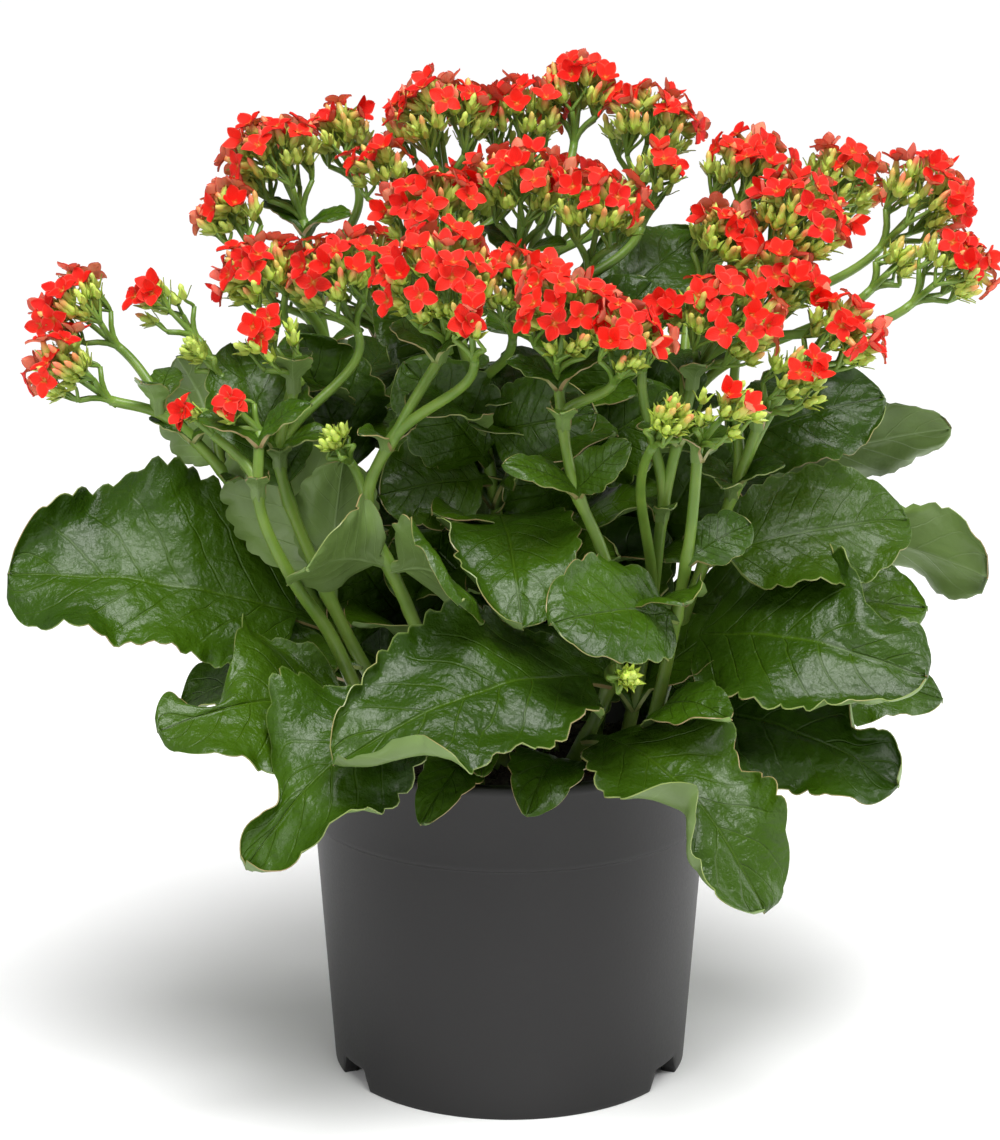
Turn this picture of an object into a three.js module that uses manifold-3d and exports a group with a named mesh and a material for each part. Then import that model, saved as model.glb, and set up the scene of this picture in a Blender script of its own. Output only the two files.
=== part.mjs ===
// Kalanchoe in a plastic nursery pot.
// Millimetres, +Z up. The origin is the middle of the pot's foot, and the plant's front faces -Y.
import * as THREE from "three";
import { ConvexHull } from "three/addons/math/ConvexHull.js";
import { mergeVertices } from "three/addons/utils/BufferGeometryUtils.js";
import Module from "manifold-3d";

const wasm = await Module();
wasm.setup();

// ---- Pot -----------------------------------------------------------------------------------
const POT_HEIGHT = 130;
const FOOT_RADIUS = 67.5;
const LEDGE_HEIGHT = 98;
const LEDGE_RADIUS = 74.4;
const BAND_RADIUS = 75.3;
const RIM_RADIUS = 77;
const POT_WALL = 1.8;
const FOOT_WIDTH = 6;
const FLOOR_HEIGHT = 9;
const NOTCH_HEIGHT = 8;
const NOTCH_ANGLES = [-30, 90, 210];
const NOTCH_HALF_ANGLE = 8.5;
const POT_SIDES = 36;

// ---- Soil ----------------------------------------------------------------------------------
const SOIL_HEIGHT = 118;
const SOIL_GAP = 0.3;
const SOIL_EDGE_DROP = 2;
const SOIL_EDGE_WIDTH = 12;
const HOLE_DEPTH = 18;
const HOLE_GAP = 1.8;
const HOLE_SIDES = 4;

// ---- Stems ---------------------------------------------------------------------------------
const TRUNK_RADIUS = 4.2;
const NECK_RADIUS = 2.4;
const BRANCH_RADIUS = 2;
const TRUNK_SIDES = 5;
const BRANCH_SIDES = 4;
const STRAIGHT_START = [-17, -8, -1, 6];
const BRANCH_STATIONS = [0, 0.34, 0.67, 1];
const BRANCH_BEND = 0.35;

// ---- Flower heads --------------------------------------------------------------------------
const FLORET_RADIUS = 7.4;
const PETAL_NOTCH = 0.46;
const CORE_RISE = 1;
const CORE_DEPTH = 2.4;
const DOME_RISE = 3;
const DOME_MARGIN = 5;
const DOME_ANGLE = 78;
const PETAL_RISE = 1.2;
const NOTCH_SINK = 1.8;
const PETAL_GAP = 4.5;
const PAIR_ANGLE = 24;
const GOLDEN_ANGLE = Math.PI * (3 - Math.sqrt(5));
const STALK_REACH = 8;
const CUP_DEPTH = 5;
const CUP_WIDTH = 0.5;
const CUP_GAP = 1.4;
const CALYX_RADIUS = 2.1;
const CALYX_SIDES = 3;
const BUD_LENGTH = 5;
const HEAD_CENTRE_HEIGHT = 140;
const HEAD_UPRIGHTNESS = 0.9;
const STALK_GROWTH = 0.7;
const BUD_ROOT_SHARE = 0.4;
const HEAD_SEED = 100;
const BUD_SEED = 5000;
const FLOWER_GAP = 0.35;

// ---- Leaves --------------------------------------------------------------------------------
const LEAF_THICKNESS = 1.5;
const STALK_THICKNESS = 3.4;
const STALK_WIDTH = 5;
const CRENATE_DEPTH = 0.13;
const LEAF_ARCH = 0.12;
const LEAF_CUP = 0.12;
const LEAF_WAVE = 0.08;
const WAVE_TURNS = 15;
const TIP_BLUNTNESS = 0.5;
const STALK_SHARE = 0.12;
const ROOT_SHARE = 0.14;
const LEAF_CLEARANCE = 0.7;
const BROAD_LEAF = 54;
const FILLERS = 4;
const FRONT_EDGE = -26;
const FILLER_START = 150;
const FILLER_STEP = 30;
const FILLER_LENGTH = 66;
const FILLER_WIDTH = 50;
const FILLER_SEED = 900;
// Every leaf tries these turns about its root, in degrees (sideways, up), until it is clear.
const LEAF_TURNS = [
  [0, 0], [0, 3], [0, -3], [3, 0], [-3, 0], [4, 4], [-4, 4], [4, -4], [-4, -4], [0, 7], [0, -7], [7, 0],
  [-7, 0], [8, 7], [-8, 7], [8, -7], [-8, -7], [0, 11], [0, -11], [12, 0], [-12, 0], [12, 10], [-12, 10],
  [12, -10], [-12, -10],
];
const FILLER_TURNS = [
  [0, 0], [0, 8], [0, -8], [10, 0], [-10, 0], [0, 16], [0, -16], [18, 0], [-18, 0], [14, 12], [-14, 12],
  [14, -12], [-14, -12], [26, 0], [-26, 0], [0, 24], [24, 16], [-24, 16], [34, 4], [-34, 4],
];

// One row for each leafy stem that stands in the soil: where it leaves the soil, the points it
// passes, its flower heads (the first ends the stem, the others fork off at the height "fork"),
// and its leaves. A leaf leaves its stem at the height "from", ends at "tip", and turns its upper
// side to "face". "arch" is how far it bows, "wave" the size of its edge's waves, "stalk" the share
// of the length before the blade, and "blunt" is lower the rounder its tip. Each of its "bites" is
// [edge, place along the leaf, depth, length], and a lobe is a bite with a depth below 0.
const STEMS = [
  {
    name: "front_left", foot: [-45, -33],
    way: [[-56, -41, 156], [-65, -50, 180], [-77, -60, 202], [-87, -66, 228]],
    heads: [
      { name: "low_left", at: [-96, -70, 266], size: 9, florets: 2, buds: 6 },
      { name: "low_left_side", at: [-113, -64, 262], size: 8, florets: 2, buds: 3, fork: 234 },
    ],
    leaves: [
      {
        name: "lower_left", from: 148, tip: [-122, -86, 154], wide: 62, face: [-0.15, -0.66, 0.72],
        wave: 0.16, blunt: 0.4, bites: [[1, 0.42, -0.3, 0.12], [1, 0.76, 0.9, 0.16]],
      },
    ],
  },
  {
    name: "left", foot: [-47, -6],
    way: [[-62, -10, 160], [-81, -14, 198], [-102, -18, 229], [-124, -20, 252]],
    heads: [
      { name: "far_left_low", at: [-166, -26, 275], size: 16, florets: 3, buds: 2 },
      { name: "far_left_high", at: [-165, -8, 295], size: 17, florets: 5, buds: 2, fork: 246 },
      { name: "left_side", at: [-131, -2, 296], size: 14, florets: 2, buds: 5, fork: 228 },
    ],
    leaves: [
      {
        name: "left_big", from: 172, tip: [-181, -36, 198], wide: 80, face: [-0.1, -0.74, 0.66], arch: 0.1,
        blunt: 0.35, bites: [[1, 0.5, -0.18, 0.35], [-1, 0.5, 0.26, 0.4]],
      },
      { name: "left_back_lobe", from: 232, tip: [-122, 3, 271], wide: 44, face: [0.3, 0.7, -0.2] },
    ],
  },
  {
    name: "left_inner", foot: [-27, -25], way: [[-50, -30, 156], [-70, -36, 200], [-82, -42, 240]],
    heads: [
      { name: "left_front", at: [-87, -54, 290], size: 14, florets: 2, buds: 4 },
      { name: "left_middle", at: [-67, -36, 314], size: 19, florets: 6, buds: 4, fork: 240 },
      { name: "left_upper", at: [-95, -30, 312], size: 17, florets: 5, buds: 3, fork: 246 },
    ],
    leaves: [
      { name: "left_upright", from: 192, tip: [-94, -28, 252], wide: 50, face: [0.1, 1, -0.1] },
      { name: "left_high_dark", from: 224, tip: [-101, -14, 278], wide: 38, face: [0.2, -0.9, 0.3] },
      { name: "left_upright_inner", from: 188, tip: [-54, -52, 240], wide: 32, face: [-0.3, 1, -0.1] },
    ],
  },
  {
    name: "left_back", foot: [-29, 15], way: [[-40, 14, 160], [-54, 15, 205], [-66, 19, 258]],
    heads: [
      { name: "high_left", at: [-92, 22, 352], size: 21, florets: 8, buds: 2 },
      { name: "high_left_inner", at: [-66, 46, 356], size: 16, florets: 5, buds: 2, fork: 290 },
      { name: "left_outer", at: [-106, 4, 329], size: 15, florets: 4, buds: 2, fork: 272 },
    ],
    leaves: [
      { name: "low_dark", from: 168, tip: [-66, -8, 206], wide: 52, face: [0, -0.9, 0.4] },
      { name: "left_back_dark", from: 222, tip: [-80, 0, 280], wide: 46, face: [0.1, -0.9, 0.3] },
    ],
  },
  {
    name: "front_inner", foot: [-13, -43],
    way: [[-22, -45, 150], [-36, -51, 188], [-50, -57, 228], [-38, -59, 257]],
    heads: [
      { name: "front_large", at: [-28, -69, 319], size: 23, florets: 9, buds: 4 },
      { name: "front_small", at: [-14, -85, 298], size: 11, florets: 2, buds: 5, fork: 250 },
    ],
    leaves: [
      {
        name: "bottom_left", from: 142, tip: [-93, -104, 106], wide: 56, face: [-0.3, -0.72, 0.62],
        arch: 0.26, wave: 0.14, stalk: 0.2, blunt: 0.4, bites: [[1, 0.55, -0.35, 0.14], [1, 0.85, 0.8, 0.13]],
      },
      { name: "centre_curl", from: 204, tip: [-12, -92, 202], wide: 50, face: [0.05, 0.85, 0.5], arch: 0.16 },
      { name: "left_curl", from: 206, tip: [-74, -84, 212], wide: 44, face: [-0.1, 0.85, 0.5], arch: 0.12 },
      { name: "rim_grey", from: 126, tip: [-31, -88, 118], wide: 22, face: [0, -0.75, 0.65], arch: 0.25 },
      { name: "rim_left", from: 124, tip: [-10, -78, 128], wide: 20, face: [0, -0.7, 0.7], arch: 0.25 },
    ],
  },
  {
    name: "front", foot: [20, -43], way: [[33, -47, 152], [40, -53, 182], [32, -60, 212], [21, -65, 240]],
    heads: [
      { name: "front_right", at: [20, -75, 305], size: 20, florets: 7, buds: 3 },
      { name: "front_right_side", at: [42, -84, 296], size: 16, florets: 4, buds: 3, fork: 258 },
    ],
    leaves: [
      {
        name: "front_centre", from: 160, tip: [-59, -116, 152], wide: 68, face: [-0.05, -0.7, 0.72],
        arch: 0.16, wave: 0.14, blunt: 0.42,
        bites: [[-1, 0.35, 0.12, 0.06], [-1, 0.62, 0.16, 0.07], [1, 0.5, -0.1, 0.1]],
      },
      {
        name: "bottom_right", from: 138, tip: [87, -108, 95], wide: 56, face: [0.2, -0.7, 0.7], arch: 0.26,
        wave: 0.14, blunt: 0.34, bites: [[1, 0.64, 0.5, 0.09], [-1, 0.6, 0.25, 0.08]],
      },
      { name: "rim_middle", from: 124, tip: [6, -92, 126], wide: 30, face: [-0.1, -0.72, 0.7], arch: 0.24 },
      { name: "bract_left", from: 233, tip: [-2, -74, 247], wide: 14, face: [0, -0.6, 0.8], small: 1 },
      { name: "bract_right", from: 233, tip: [41, -74, 253], wide: 17, face: [-0.3, -0.8, 0.5], small: 1 },
    ],
  },
  {
    name: "inner_back", foot: [-9, 26], way: [[-10, 28, 160], [-12, 30, 212], [-18, 32, 268]],
    heads: [
      { name: "high_centre_left", at: [-28, 38, 367], size: 23, florets: 8, buds: 2 },
      { name: "high_centre", at: [4, 51, 364], size: 20, florets: 7, buds: 2, fork: 300 },
      { name: "inner_small", at: [-50, 20, 345], size: 15, florets: 4, buds: 2, fork: 278 },
    ],
    leaves: [
      { name: "inner_low", from: 160, tip: [-44, 0, 206], wide: 46, face: [0.1, -0.9, 0.4] },
      { name: "inner_upper", from: 232, tip: [24, 16, 264], wide: 42, face: [0, -0.95, 0.3] },
      { name: "inner_high", from: 262, tip: [-48, 20, 292], wide: 38, face: [0, -0.95, 0.3] },
    ],
  },
  {
    name: "centre", foot: [-3, -6], way: [[-3, -8, 160], [-5, -12, 213], [-13, -16, 262]],
    heads: [
      { name: "centre_upper", at: [-31, -14, 336], size: 21, florets: 8, buds: 2 },
      { name: "centre_low", at: [1, -48, 312], size: 17, florets: 5, buds: 2, fork: 256 },
    ],
    leaves: [
      {
        name: "centre_dark", from: 212, tip: [4, -84, 190], wide: 52, face: [0.05, -0.75, 0.65], arch: 0.2,
        wave: 0.12, blunt: 0.42,
      },
      { name: "centre_low_dark", from: 140, tip: [30, -32, 168], wide: 36, face: [0, -0.9, 0.4] },
      { name: "centre_dark_upper", from: 228, tip: [-46, -30, 222], wide: 40, face: [-0.2, -0.9, 0.4] },
      { name: "middle_dark", from: 246, tip: [26, -40, 262], wide: 38, face: [0.1, -0.95, 0.3] },
      { name: "middle_left_dark", from: 234, tip: [-36, -26, 276], wide: 40, face: [0, -0.95, 0.3] },
    ],
  },
  {
    name: "high", foot: [16, 13], way: [[18, 12, 160], [19, 10, 208], [16, 4, 262]],
    heads: [
      { name: "centre_right", at: [4, -6, 344], size: 20, florets: 7, buds: 2 },
      { name: "centre_right_side", at: [34, -22, 337], size: 19, florets: 6, buds: 2, fork: 285 },
      { name: "high_right_left", at: [28, 54, 374], size: 17, florets: 5, buds: 2, fork: 292 },
      { name: "high_right", at: [56, 44, 362], size: 21, florets: 8, buds: 2, fork: 294 },
      { name: "high_right_low", at: [56, 16, 342], size: 15, florets: 2, buds: 2, fork: 280 },
    ],
    leaves: [
      { name: "high_low", from: 156, tip: [58, 0, 206], wide: 52, face: [-0.1, -0.9, 0.4] },
      { name: "upper_back", from: 262, tip: [72, 40, 312], wide: 46, face: [0, -0.7, 0.7] },
      { name: "upper_inner", from: 256, tip: [50, 8, 300], wide: 38, face: [0.2, -0.8, 0.5] },
      { name: "middle_side", from: 226, tip: [62, -12, 250], wide: 40, face: [0.1, -0.9, 0.4] },
      { name: "middle_low_dark", from: 206, tip: [0, -14, 240], wide: 44, face: [0, -0.95, 0.3] },
    ],
  },
  {
    name: "right_inner", foot: [41, -27], way: [[46, -32, 152], [51, -40, 189], [55, -48, 230]],
    heads: [
      { name: "right_front", at: [81, -60, 302], size: 21, florets: 8, buds: 4 },
      { name: "right_small", at: [54, -59, 298], size: 11, florets: 2, buds: 4, fork: 222 },
      { name: "bud_cluster", at: [55, -92, 267], size: 11, florets: 0, buds: 8, fork: 184 },
      { name: "right_upper", at: [80, -20, 324], size: 16, florets: 4, buds: 2, fork: 250 },
    ],
    leaves: [],
  },
  {
    name: "right_front", foot: [47, -46], way: [[52, -52, 150], [57, -60, 180], [62, -71, 218]],
    heads: [
      { name: "front_low_right", at: [76, -88, 270], size: 15, florets: 1, buds: 7 },
    ],
    leaves: [
      {
        name: "round", from: 188, tip: [14, -100, 196], wide: 46, face: [-0.1, -0.8, 0.6], arch: 0.1,
        blunt: 0.38,
      },
      { name: "rim_right", from: 142, tip: [77, -92, 150], wide: 26, face: [0.1, -0.7, 0.7], arch: 0.2 },
      { name: "bract_low_right", from: 210, tip: [84, -62, 222], wide: 20, face: [0, -0.8, 0.6], small: 1 },
    ],
  },
  {
    name: "right", foot: [51, -7], way: [[58, -12, 150], [66, -22, 185], [80, -36, 228]],
    heads: [
      { name: "right_low", at: [104, -54, 276], size: 15, florets: 2, buds: 4 },
      { name: "right_middle", at: [101, -30, 309], size: 17, florets: 5, buds: 4, fork: 228 },
      { name: "right_middle_side", at: [122, -42, 292], size: 17, florets: 5, buds: 3, fork: 232 },
    ],
    leaves: [
      {
        name: "right_large", from: 168, tip: [147, -66, 167], wide: 72, face: [0.05, -0.74, 0.66], arch: 0.14,
        blunt: 0.42, bites: [[-1, 0.42, -0.18, 0.16], [-1, 0.78, 0.45, 0.1]],
      },
      {
        name: "right_lower", from: 136, tip: [139, -60, 126], wide: 60, face: [0.1, -0.64, 0.76], arch: 0.16,
        wave: 0.12, blunt: 0.38, bites: [[-1, 0.82, 0.5, 0.07], [1, 0.42, -0.2, 0.12], [1, 0.7, 0.2, 0.08]],
      },
      { name: "quilted", from: 200, tip: [143, 0, 200], wide: 52, face: [0, -0.8, 0.6], blunt: 0.42 },
    ],
  },
  {
    name: "right_back", foot: [34, 24], way: [[42, 25, 160], [55, 26, 200], [68, 22, 252]],
    heads: [
      { name: "right_high", at: [93, 18, 346], size: 21, florets: 8, buds: 2 },
      { name: "right_high_front", at: [110, -13, 331], size: 21, florets: 8, buds: 2, fork: 276 },
      { name: "right_high_back", at: [131, 40, 339], size: 18, florets: 6, buds: 2, fork: 274 },
      { name: "far_right_high", at: [160, 18, 335], size: 20, florets: 7, buds: 2, fork: 262 },
      { name: "far_right_low", at: [168, -3, 311], size: 17, florets: 5, buds: 2, fork: 258 },
      { name: "far_right_buds", at: [146, 8, 309], size: 11, florets: 0, buds: 6, fork: 246 },
    ],
    leaves: [
      {
        name: "far_right", from: 198, tip: [180, 6, 188], wide: 44, face: [0.2, 0.8, 0.5], stalk: 0.3,
        blunt: 0.28, bites: [[1, 0.9, -0.25, 0.14], [-1, 0.9, -0.25, 0.14]],
      },
      { name: "upper_right", from: 222, tip: [140, 14, 254], wide: 46, face: [-0.2, -0.8, 0.55], stalk: 0.3 },
      {
        name: "upper_right_curl", from: 200, tip: [168, 32, 240], wide: 44, face: [0.1, 0.85, 0.4],
        stalk: 0.35,
      },
      { name: "behind_right", from: 165, tip: [158, 8, 174], wide: 52, face: [0.15, -0.8, 0.6], stalk: 0.25 },
      { name: "right_mid", from: 236, tip: [42, 12, 276], wide: 40, face: [0, -0.95, 0.3] },
      { name: "low_far_right", from: 146, tip: [164, 2, 140], wide: 46, face: [0.1, -0.7, 0.7], stalk: 0.3 },
      { name: "right_inner_dark", from: 188, tip: [78, 0, 246], wide: 46, face: [0, -0.95, 0.3] },
      { name: "right_low_dark", from: 142, tip: [66, -8, 176], wide: 40, face: [0, -0.9, 0.5] },
    ],
  },
  {
    name: "rear_left", foot: [-24, 48], way: [[-34, 58, 160], [-46, 68, 215]],
    heads: [
      { name: "rear_left", at: [-64, 88, 302], size: 21, florets: 7, buds: 2 },
      { name: "rear_left_side", at: [-92, 66, 300], size: 17, florets: 5, buds: 2, fork: 228 },
      { name: "rear_middle", at: [-22, 92, 326], size: 20, florets: 6, buds: 2, fork: 236 },
    ],
    leaves: [],
  },
  {
    name: "rear_right", foot: [22, 50], way: [[32, 60, 160], [43, 70, 215]],
    heads: [
      { name: "rear_right", at: [58, 92, 298], size: 21, florets: 7, buds: 2 },
      { name: "rear_right_side", at: [94, 68, 302], size: 17, florets: 5, buds: 2, fork: 228 },
      { name: "rear_inner", at: [22, 88, 332], size: 20, florets: 6, buds: 2, fork: 240 },
    ],
    leaves: [],
  },
];

// ---- Small helpers -------------------------------------------------------------------------
const vec = (x, y, z) => new THREE.Vector3(x, y, z);
const radians = THREE.MathUtils.degToRad;
const toVec = (list) => vec(list[0], list[1], list[2]);
const along = (point, direction, distance) => point.clone().addScaledVector(direction, distance);

// A seeded source of even draws from 0 to 1.
function seeded(seed) {
  let state = seed >>> 0;
  return () => {
    state = (state + 0x6d2b79f5) >>> 0;
    let mixed = Math.imul(state ^ (state >>> 15), 1 | state);
    mixed = (mixed + Math.imul(mixed ^ (mixed >>> 7), 61 | mixed)) ^ mixed;
    return ((mixed ^ (mixed >>> 14)) >>> 0) / 4294967296;
  };
}

// A solid from points and triangles whose corners run anticlockwise seen from outside.
function solidFrom(points, triangles) {
  const coordinates = new Float32Array(points.flatMap((p) => [p.x, p.y, p.z]));
  const triVerts = new Uint32Array(triangles.flat());
  return new wasm.Manifold(new wasm.Mesh({ numProp: 3, vertProperties: coordinates, triVerts }));
}

function solidFromGeometry(geometry) {
  const bare = geometry.index ? geometry.toNonIndexed() : geometry.clone();
  bare.deleteAttribute("normal");
  bare.deleteAttribute("uv");
  const merged = mergeVertices(bare, 1e-3);
  const index = [...merged.index.array];
  const kept = [];
  for (let i = 0; i < index.length; i += 3) {
    const [a, b, c] = index.slice(i, i + 3);
    if (a !== b && b !== c && c !== a) {
      kept.push(a, b, c);
    }
  }
  const mesh = new wasm.Mesh({
    numProp: 3, vertProperties: merged.attributes.position.array, triVerts: new Uint32Array(kept),
  });
  return new wasm.Manifold(mesh);
}

// Joined solids leave loose scraps and sealed hollows: only the one large body is kept.
function oneBody(solid) {
  const bodies = solid.decompose();
  return bodies.reduce((best, body) => (body.volume() > best.volume() ? body : best));
}

function overlapVolume(a, b) {
  const boxA = a.boundingBox();
  const boxB = b.boundingBox();
  for (let axis = 0; axis < 3; axis += 1) {
    if (boxA.min[axis] > boxB.max[axis] || boxB.min[axis] > boxA.max[axis]) {
      return 0;
    }
  }
  return a.intersect(b).volume();
}

function meshFrom(solid, name, material) {
  const { vertProperties, triVerts } = solid.getMesh();
  const geometry = new THREE.BufferGeometry();
  geometry.setAttribute("position", new THREE.BufferAttribute(vertProperties, 3));
  geometry.setIndex(new THREE.BufferAttribute(triVerts, 1));
  const mesh = new THREE.Mesh(geometry, material);
  mesh.name = name;
  return mesh;
}

// ---- Pot and soil --------------------------------------------------------------------------
function lathe(profile, sides) {
  const geometry = new THREE.LatheGeometry(profile.map(([r, z]) => new THREE.Vector2(r, z)), sides);
  geometry.rotateX(Math.PI / 2);
  return solidFromGeometry(geometry);
}

function innerRadius(height) {
  const share = (height - FLOOR_HEIGHT) / (POT_HEIGHT - FLOOR_HEIGHT);
  return THREE.MathUtils.lerp(FOOT_RADIUS, LEDGE_RADIUS, Math.max(0, share)) - POT_WALL;
}

function buildPot() {
  const profile = [
    [0, FLOOR_HEIGHT - 2], [FOOT_RADIUS - FOOT_WIDTH, FLOOR_HEIGHT - 2], [FOOT_RADIUS - FOOT_WIDTH + 0.5, 0],
    [FOOT_RADIUS, 0], [LEDGE_RADIUS, LEDGE_HEIGHT], [BAND_RADIUS, LEDGE_HEIGHT + 0.8],
    [RIM_RADIUS - 0.6, POT_HEIGHT - 4], [RIM_RADIUS, POT_HEIGHT - 3], [RIM_RADIUS, POT_HEIGHT],
    [innerRadius(POT_HEIGHT), POT_HEIGHT], [innerRadius(FLOOR_HEIGHT), FLOOR_HEIGHT], [0, FLOOR_HEIGHT],
  ];
  let pot = lathe(profile, POT_SIDES);
  for (const angle of NOTCH_ANGLES) {
    pot = pot.subtract(buildNotch(angle));
  }
  return pot;
}

// A drain notch through the foot ring, with slanted ends.
function buildNotch(angle) {
  const reach = FOOT_RADIUS + 6;
  const foot = Math.tan(radians(NOTCH_HALF_ANGLE)) * reach;
  const shape = new THREE.Shape();
  shape.moveTo(-foot, -1);
  shape.lineTo(foot, -1);
  shape.lineTo(foot - 3, NOTCH_HEIGHT);
  shape.lineTo(-foot + 3, NOTCH_HEIGHT);
  const geometry = new THREE.ExtrudeGeometry(shape, { depth: FOOT_WIDTH + 12, bevelEnabled: false });
  geometry.rotateX(Math.PI / 2);
  geometry.translate(0, reach, 0);
  geometry.rotateZ(radians(angle - 90));
  return solidFromGeometry(geometry);
}

function buildSoil() {
  const bottom = FLOOR_HEIGHT + SOIL_GAP;
  const profile = [
    [0, bottom], [innerRadius(bottom) - SOIL_GAP, bottom],
    [innerRadius(SOIL_HEIGHT) - SOIL_GAP, SOIL_HEIGHT - SOIL_EDGE_DROP],
    [innerRadius(SOIL_HEIGHT) - SOIL_EDGE_WIDTH, SOIL_HEIGHT], [0, SOIL_HEIGHT],
  ];
  return lathe(profile, POT_SIDES);
}

function buildHole([x, y]) {
  const radius = TRUNK_RADIUS + HOLE_GAP;
  const geometry = new THREE.CylinderGeometry(radius, radius, HOLE_DEPTH + 4, HOLE_SIDES);
  geometry.rotateX(Math.PI / 2);
  geometry.translate(x, y, SOIL_HEIGHT - HOLE_DEPTH / 2 + 2);
  return solidFromGeometry(geometry);
}

// ---- Stems ---------------------------------------------------------------------------------
// A tapering tube round a curve, with a ring of corners at each station, that flares at its end
// into the green cup of close flower stalks under its head.
function buildStem(curve, radii, sides, stations, head) {
  const points = [];
  const triangles = [];
  const { axis, radius: domeRadius, middle } = headDome(head);
  const rings = stations.map((station) => ({
    centre: curve.getPoint(station),
    tangent: curve.getTangent(station),
    radius: THREE.MathUtils.lerp(radii[0], radii[1], station),
  }));
  rings.push({ centre: along(middle, axis, -CUP_DEPTH), tangent: axis, radius: head.size * CUP_WIDTH });
  rings.forEach(({ centre, tangent, radius }, i) => {
    const side = vec(1, 0, 0).cross(tangent).normalize();
    const front = tangent.clone().cross(side);
    for (let j = 0; j < sides; j += 1) {
      const turn = (j / sides) * Math.PI * 2;
      points.push(along(along(centre, side, Math.cos(turn) * radius), front, Math.sin(turn) * radius));
      if (i > 0) {
        const a = (i - 1) * sides + j;
        const b = (i - 1) * sides + ((j + 1) % sides);
        triangles.push([a, b, b + sides], [a, b + sides, a + sides]);
      }
    }
  });
  const first = points.length;
  const last = stations.length * sides;
  points.push(along(curve.getPoint(0), curve.getTangent(0), -0.5));
  points.push(along(middle, axis, head.florets > 2 ? -CUP_GAP : domeRadius - CORE_DEPTH));
  for (let j = 0; j < sides; j += 1) {
    const next = (j + 1) % sides;
    triangles.push([first, next, j], [first + 1, last + j, last + next]);
  }
  return solidFrom(points, triangles);
}

// The direction a head faces: out from the middle of the plant and up.
function headAxis(head) {
  const [x, y, z] = head.at;
  return vec(x, y, (z - HEAD_CENTRE_HEIGHT) * HEAD_UPRIGHTNESS).normalize();
}

// The ball that a head's florets sit on.
function headDome(head) {
  const axis = headAxis(head);
  const radius = head.size - DOME_MARGIN;
  return { axis, radius, middle: along(toVec(head.at), axis, DOME_RISE - radius) };
}

// Where a head's stalk opens out into its flower stalks.
function headFocus(head) {
  const dome = headDome(head);
  return along(dome.middle, dome.axis, -STALK_REACH - head.size * STALK_GROWTH);
}

function trunkCurve(stem) {
  const [x, y] = stem.foot;
  const start = STRAIGHT_START.map((height) => vec(x, y, SOIL_HEIGHT + height));
  const way = stem.way.map(toVec);
  return new THREE.CatmullRomCurve3([...start, ...way, headFocus(stem.heads[0])], false, "catmullrom", 0.5);
}

// A trunk's corners lie at the two ends of its straight start and at each point that it passes.
function trunkStations(stem) {
  const last = STRAIGHT_START.length + stem.way.length;
  const stations = [0];
  for (let i = STRAIGHT_START.length - 1; i <= last; i += 1) {
    stations.push(i / last);
  }
  return stations;
}

// Where a trunk reaches a height, and its direction there.
function trunkAt(curve, height) {
  let low = 0;
  let high = 1;
  for (let i = 0; i < 24; i += 1) {
    const middle = (low + high) / 2;
    if (curve.getPoint(middle).z < height) {
      low = middle;
    } else {
      high = middle;
    }
  }
  return { point: curve.getPoint(low), tangent: curve.getTangent(low) };
}

function branchCurve(trunk, head) {
  const fork = trunkAt(trunk, head.fork);
  const focus = headFocus(head);
  const length = focus.distanceTo(fork.point);
  const leaving = along(fork.point, fork.tangent, length * BRANCH_BEND);
  const arriving = along(focus, headAxis(head), -length * BRANCH_BEND);
  return new THREE.CubicBezierCurve3(fork.point, leaving, arriving, focus);
}

// ---- Flower heads --------------------------------------------------------------------------
// The direction that leans "tilt" away from the axis, "turn" round it.
function leaning(axis, turn, tilt) {
  const right = vec(0, 0, 1).cross(axis).normalize();
  const front = axis.clone().cross(right);
  const side = right.multiplyScalar(Math.cos(turn)).addScaledVector(front, Math.sin(turn));
  return { side, out: axis.clone().multiplyScalar(Math.cos(tilt)).addScaledVector(side, Math.sin(tilt)) };
}

// Florets sit on a dome, spread evenly over it by the golden angle, or two of them side by side.
function floretPlaces(head, seed) {
  const draw = seeded(seed);
  const { axis, radius, middle } = headDome(head);
  const start = draw() * Math.PI * 2;
  const cap = 1 - Math.cos(radians(DOME_ANGLE));
  const apart = radians(PAIR_ANGLE) * (head.florets - 1);
  const places = [];
  for (let i = 0; i < head.florets; i += 1) {
    const turn = start + i * (head.florets === 2 ? Math.PI : GOLDEN_ANGLE) + (draw() - 0.5) * 0.3;
    const spread = head.florets < 3 ? apart : Math.acos(1 - (cap * (i + 0.4)) / head.florets);
    const { side, out } = leaning(axis, turn, spread);
    places.push({ middle: along(middle, out, radius), out, side, spin: draw() * Math.PI });
  }
  return places;
}

// Four broad petals, thin at their edges, over a short tube.
function buildFloret(place, grow) {
  const up = place.out.clone().cross(place.side).normalize();
  const side = up.clone().cross(place.out);
  const points = [CORE_RISE + grow, -CORE_DEPTH - grow].map((rise) => along(place.middle, place.out, rise));
  const triangles = [];
  for (let i = 0; i < 8; i += 1) {
    const turn = place.spin + (i / 8) * Math.PI * 2;
    const radius = FLORET_RADIUS * (i % 2 ? PETAL_NOTCH : 1) + grow;
    const rim = along(place.middle, place.out, i % 2 ? -0.4 : -0.3);
    points.push(along(along(rim, side, Math.cos(turn) * radius), up, Math.sin(turn) * radius));
    const here = 2 + i;
    const next = 2 + ((i + 1) % 8);
    triangles.push([0, here, next], [1, next, here]);
  }
  return solidFrom(points, triangles);
}

// The triangles of the ball that directions from its middle span, as lists of three directions.
function hullFaces(directions) {
  return new ConvexHull().setFromPoints(directions).faces.map((face) => {
    const corners = [0, 1, 2].map((i) => face.getEdge(i).head().point);
    return { corners, normal: face.normal.clone() };
  });
}

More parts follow.
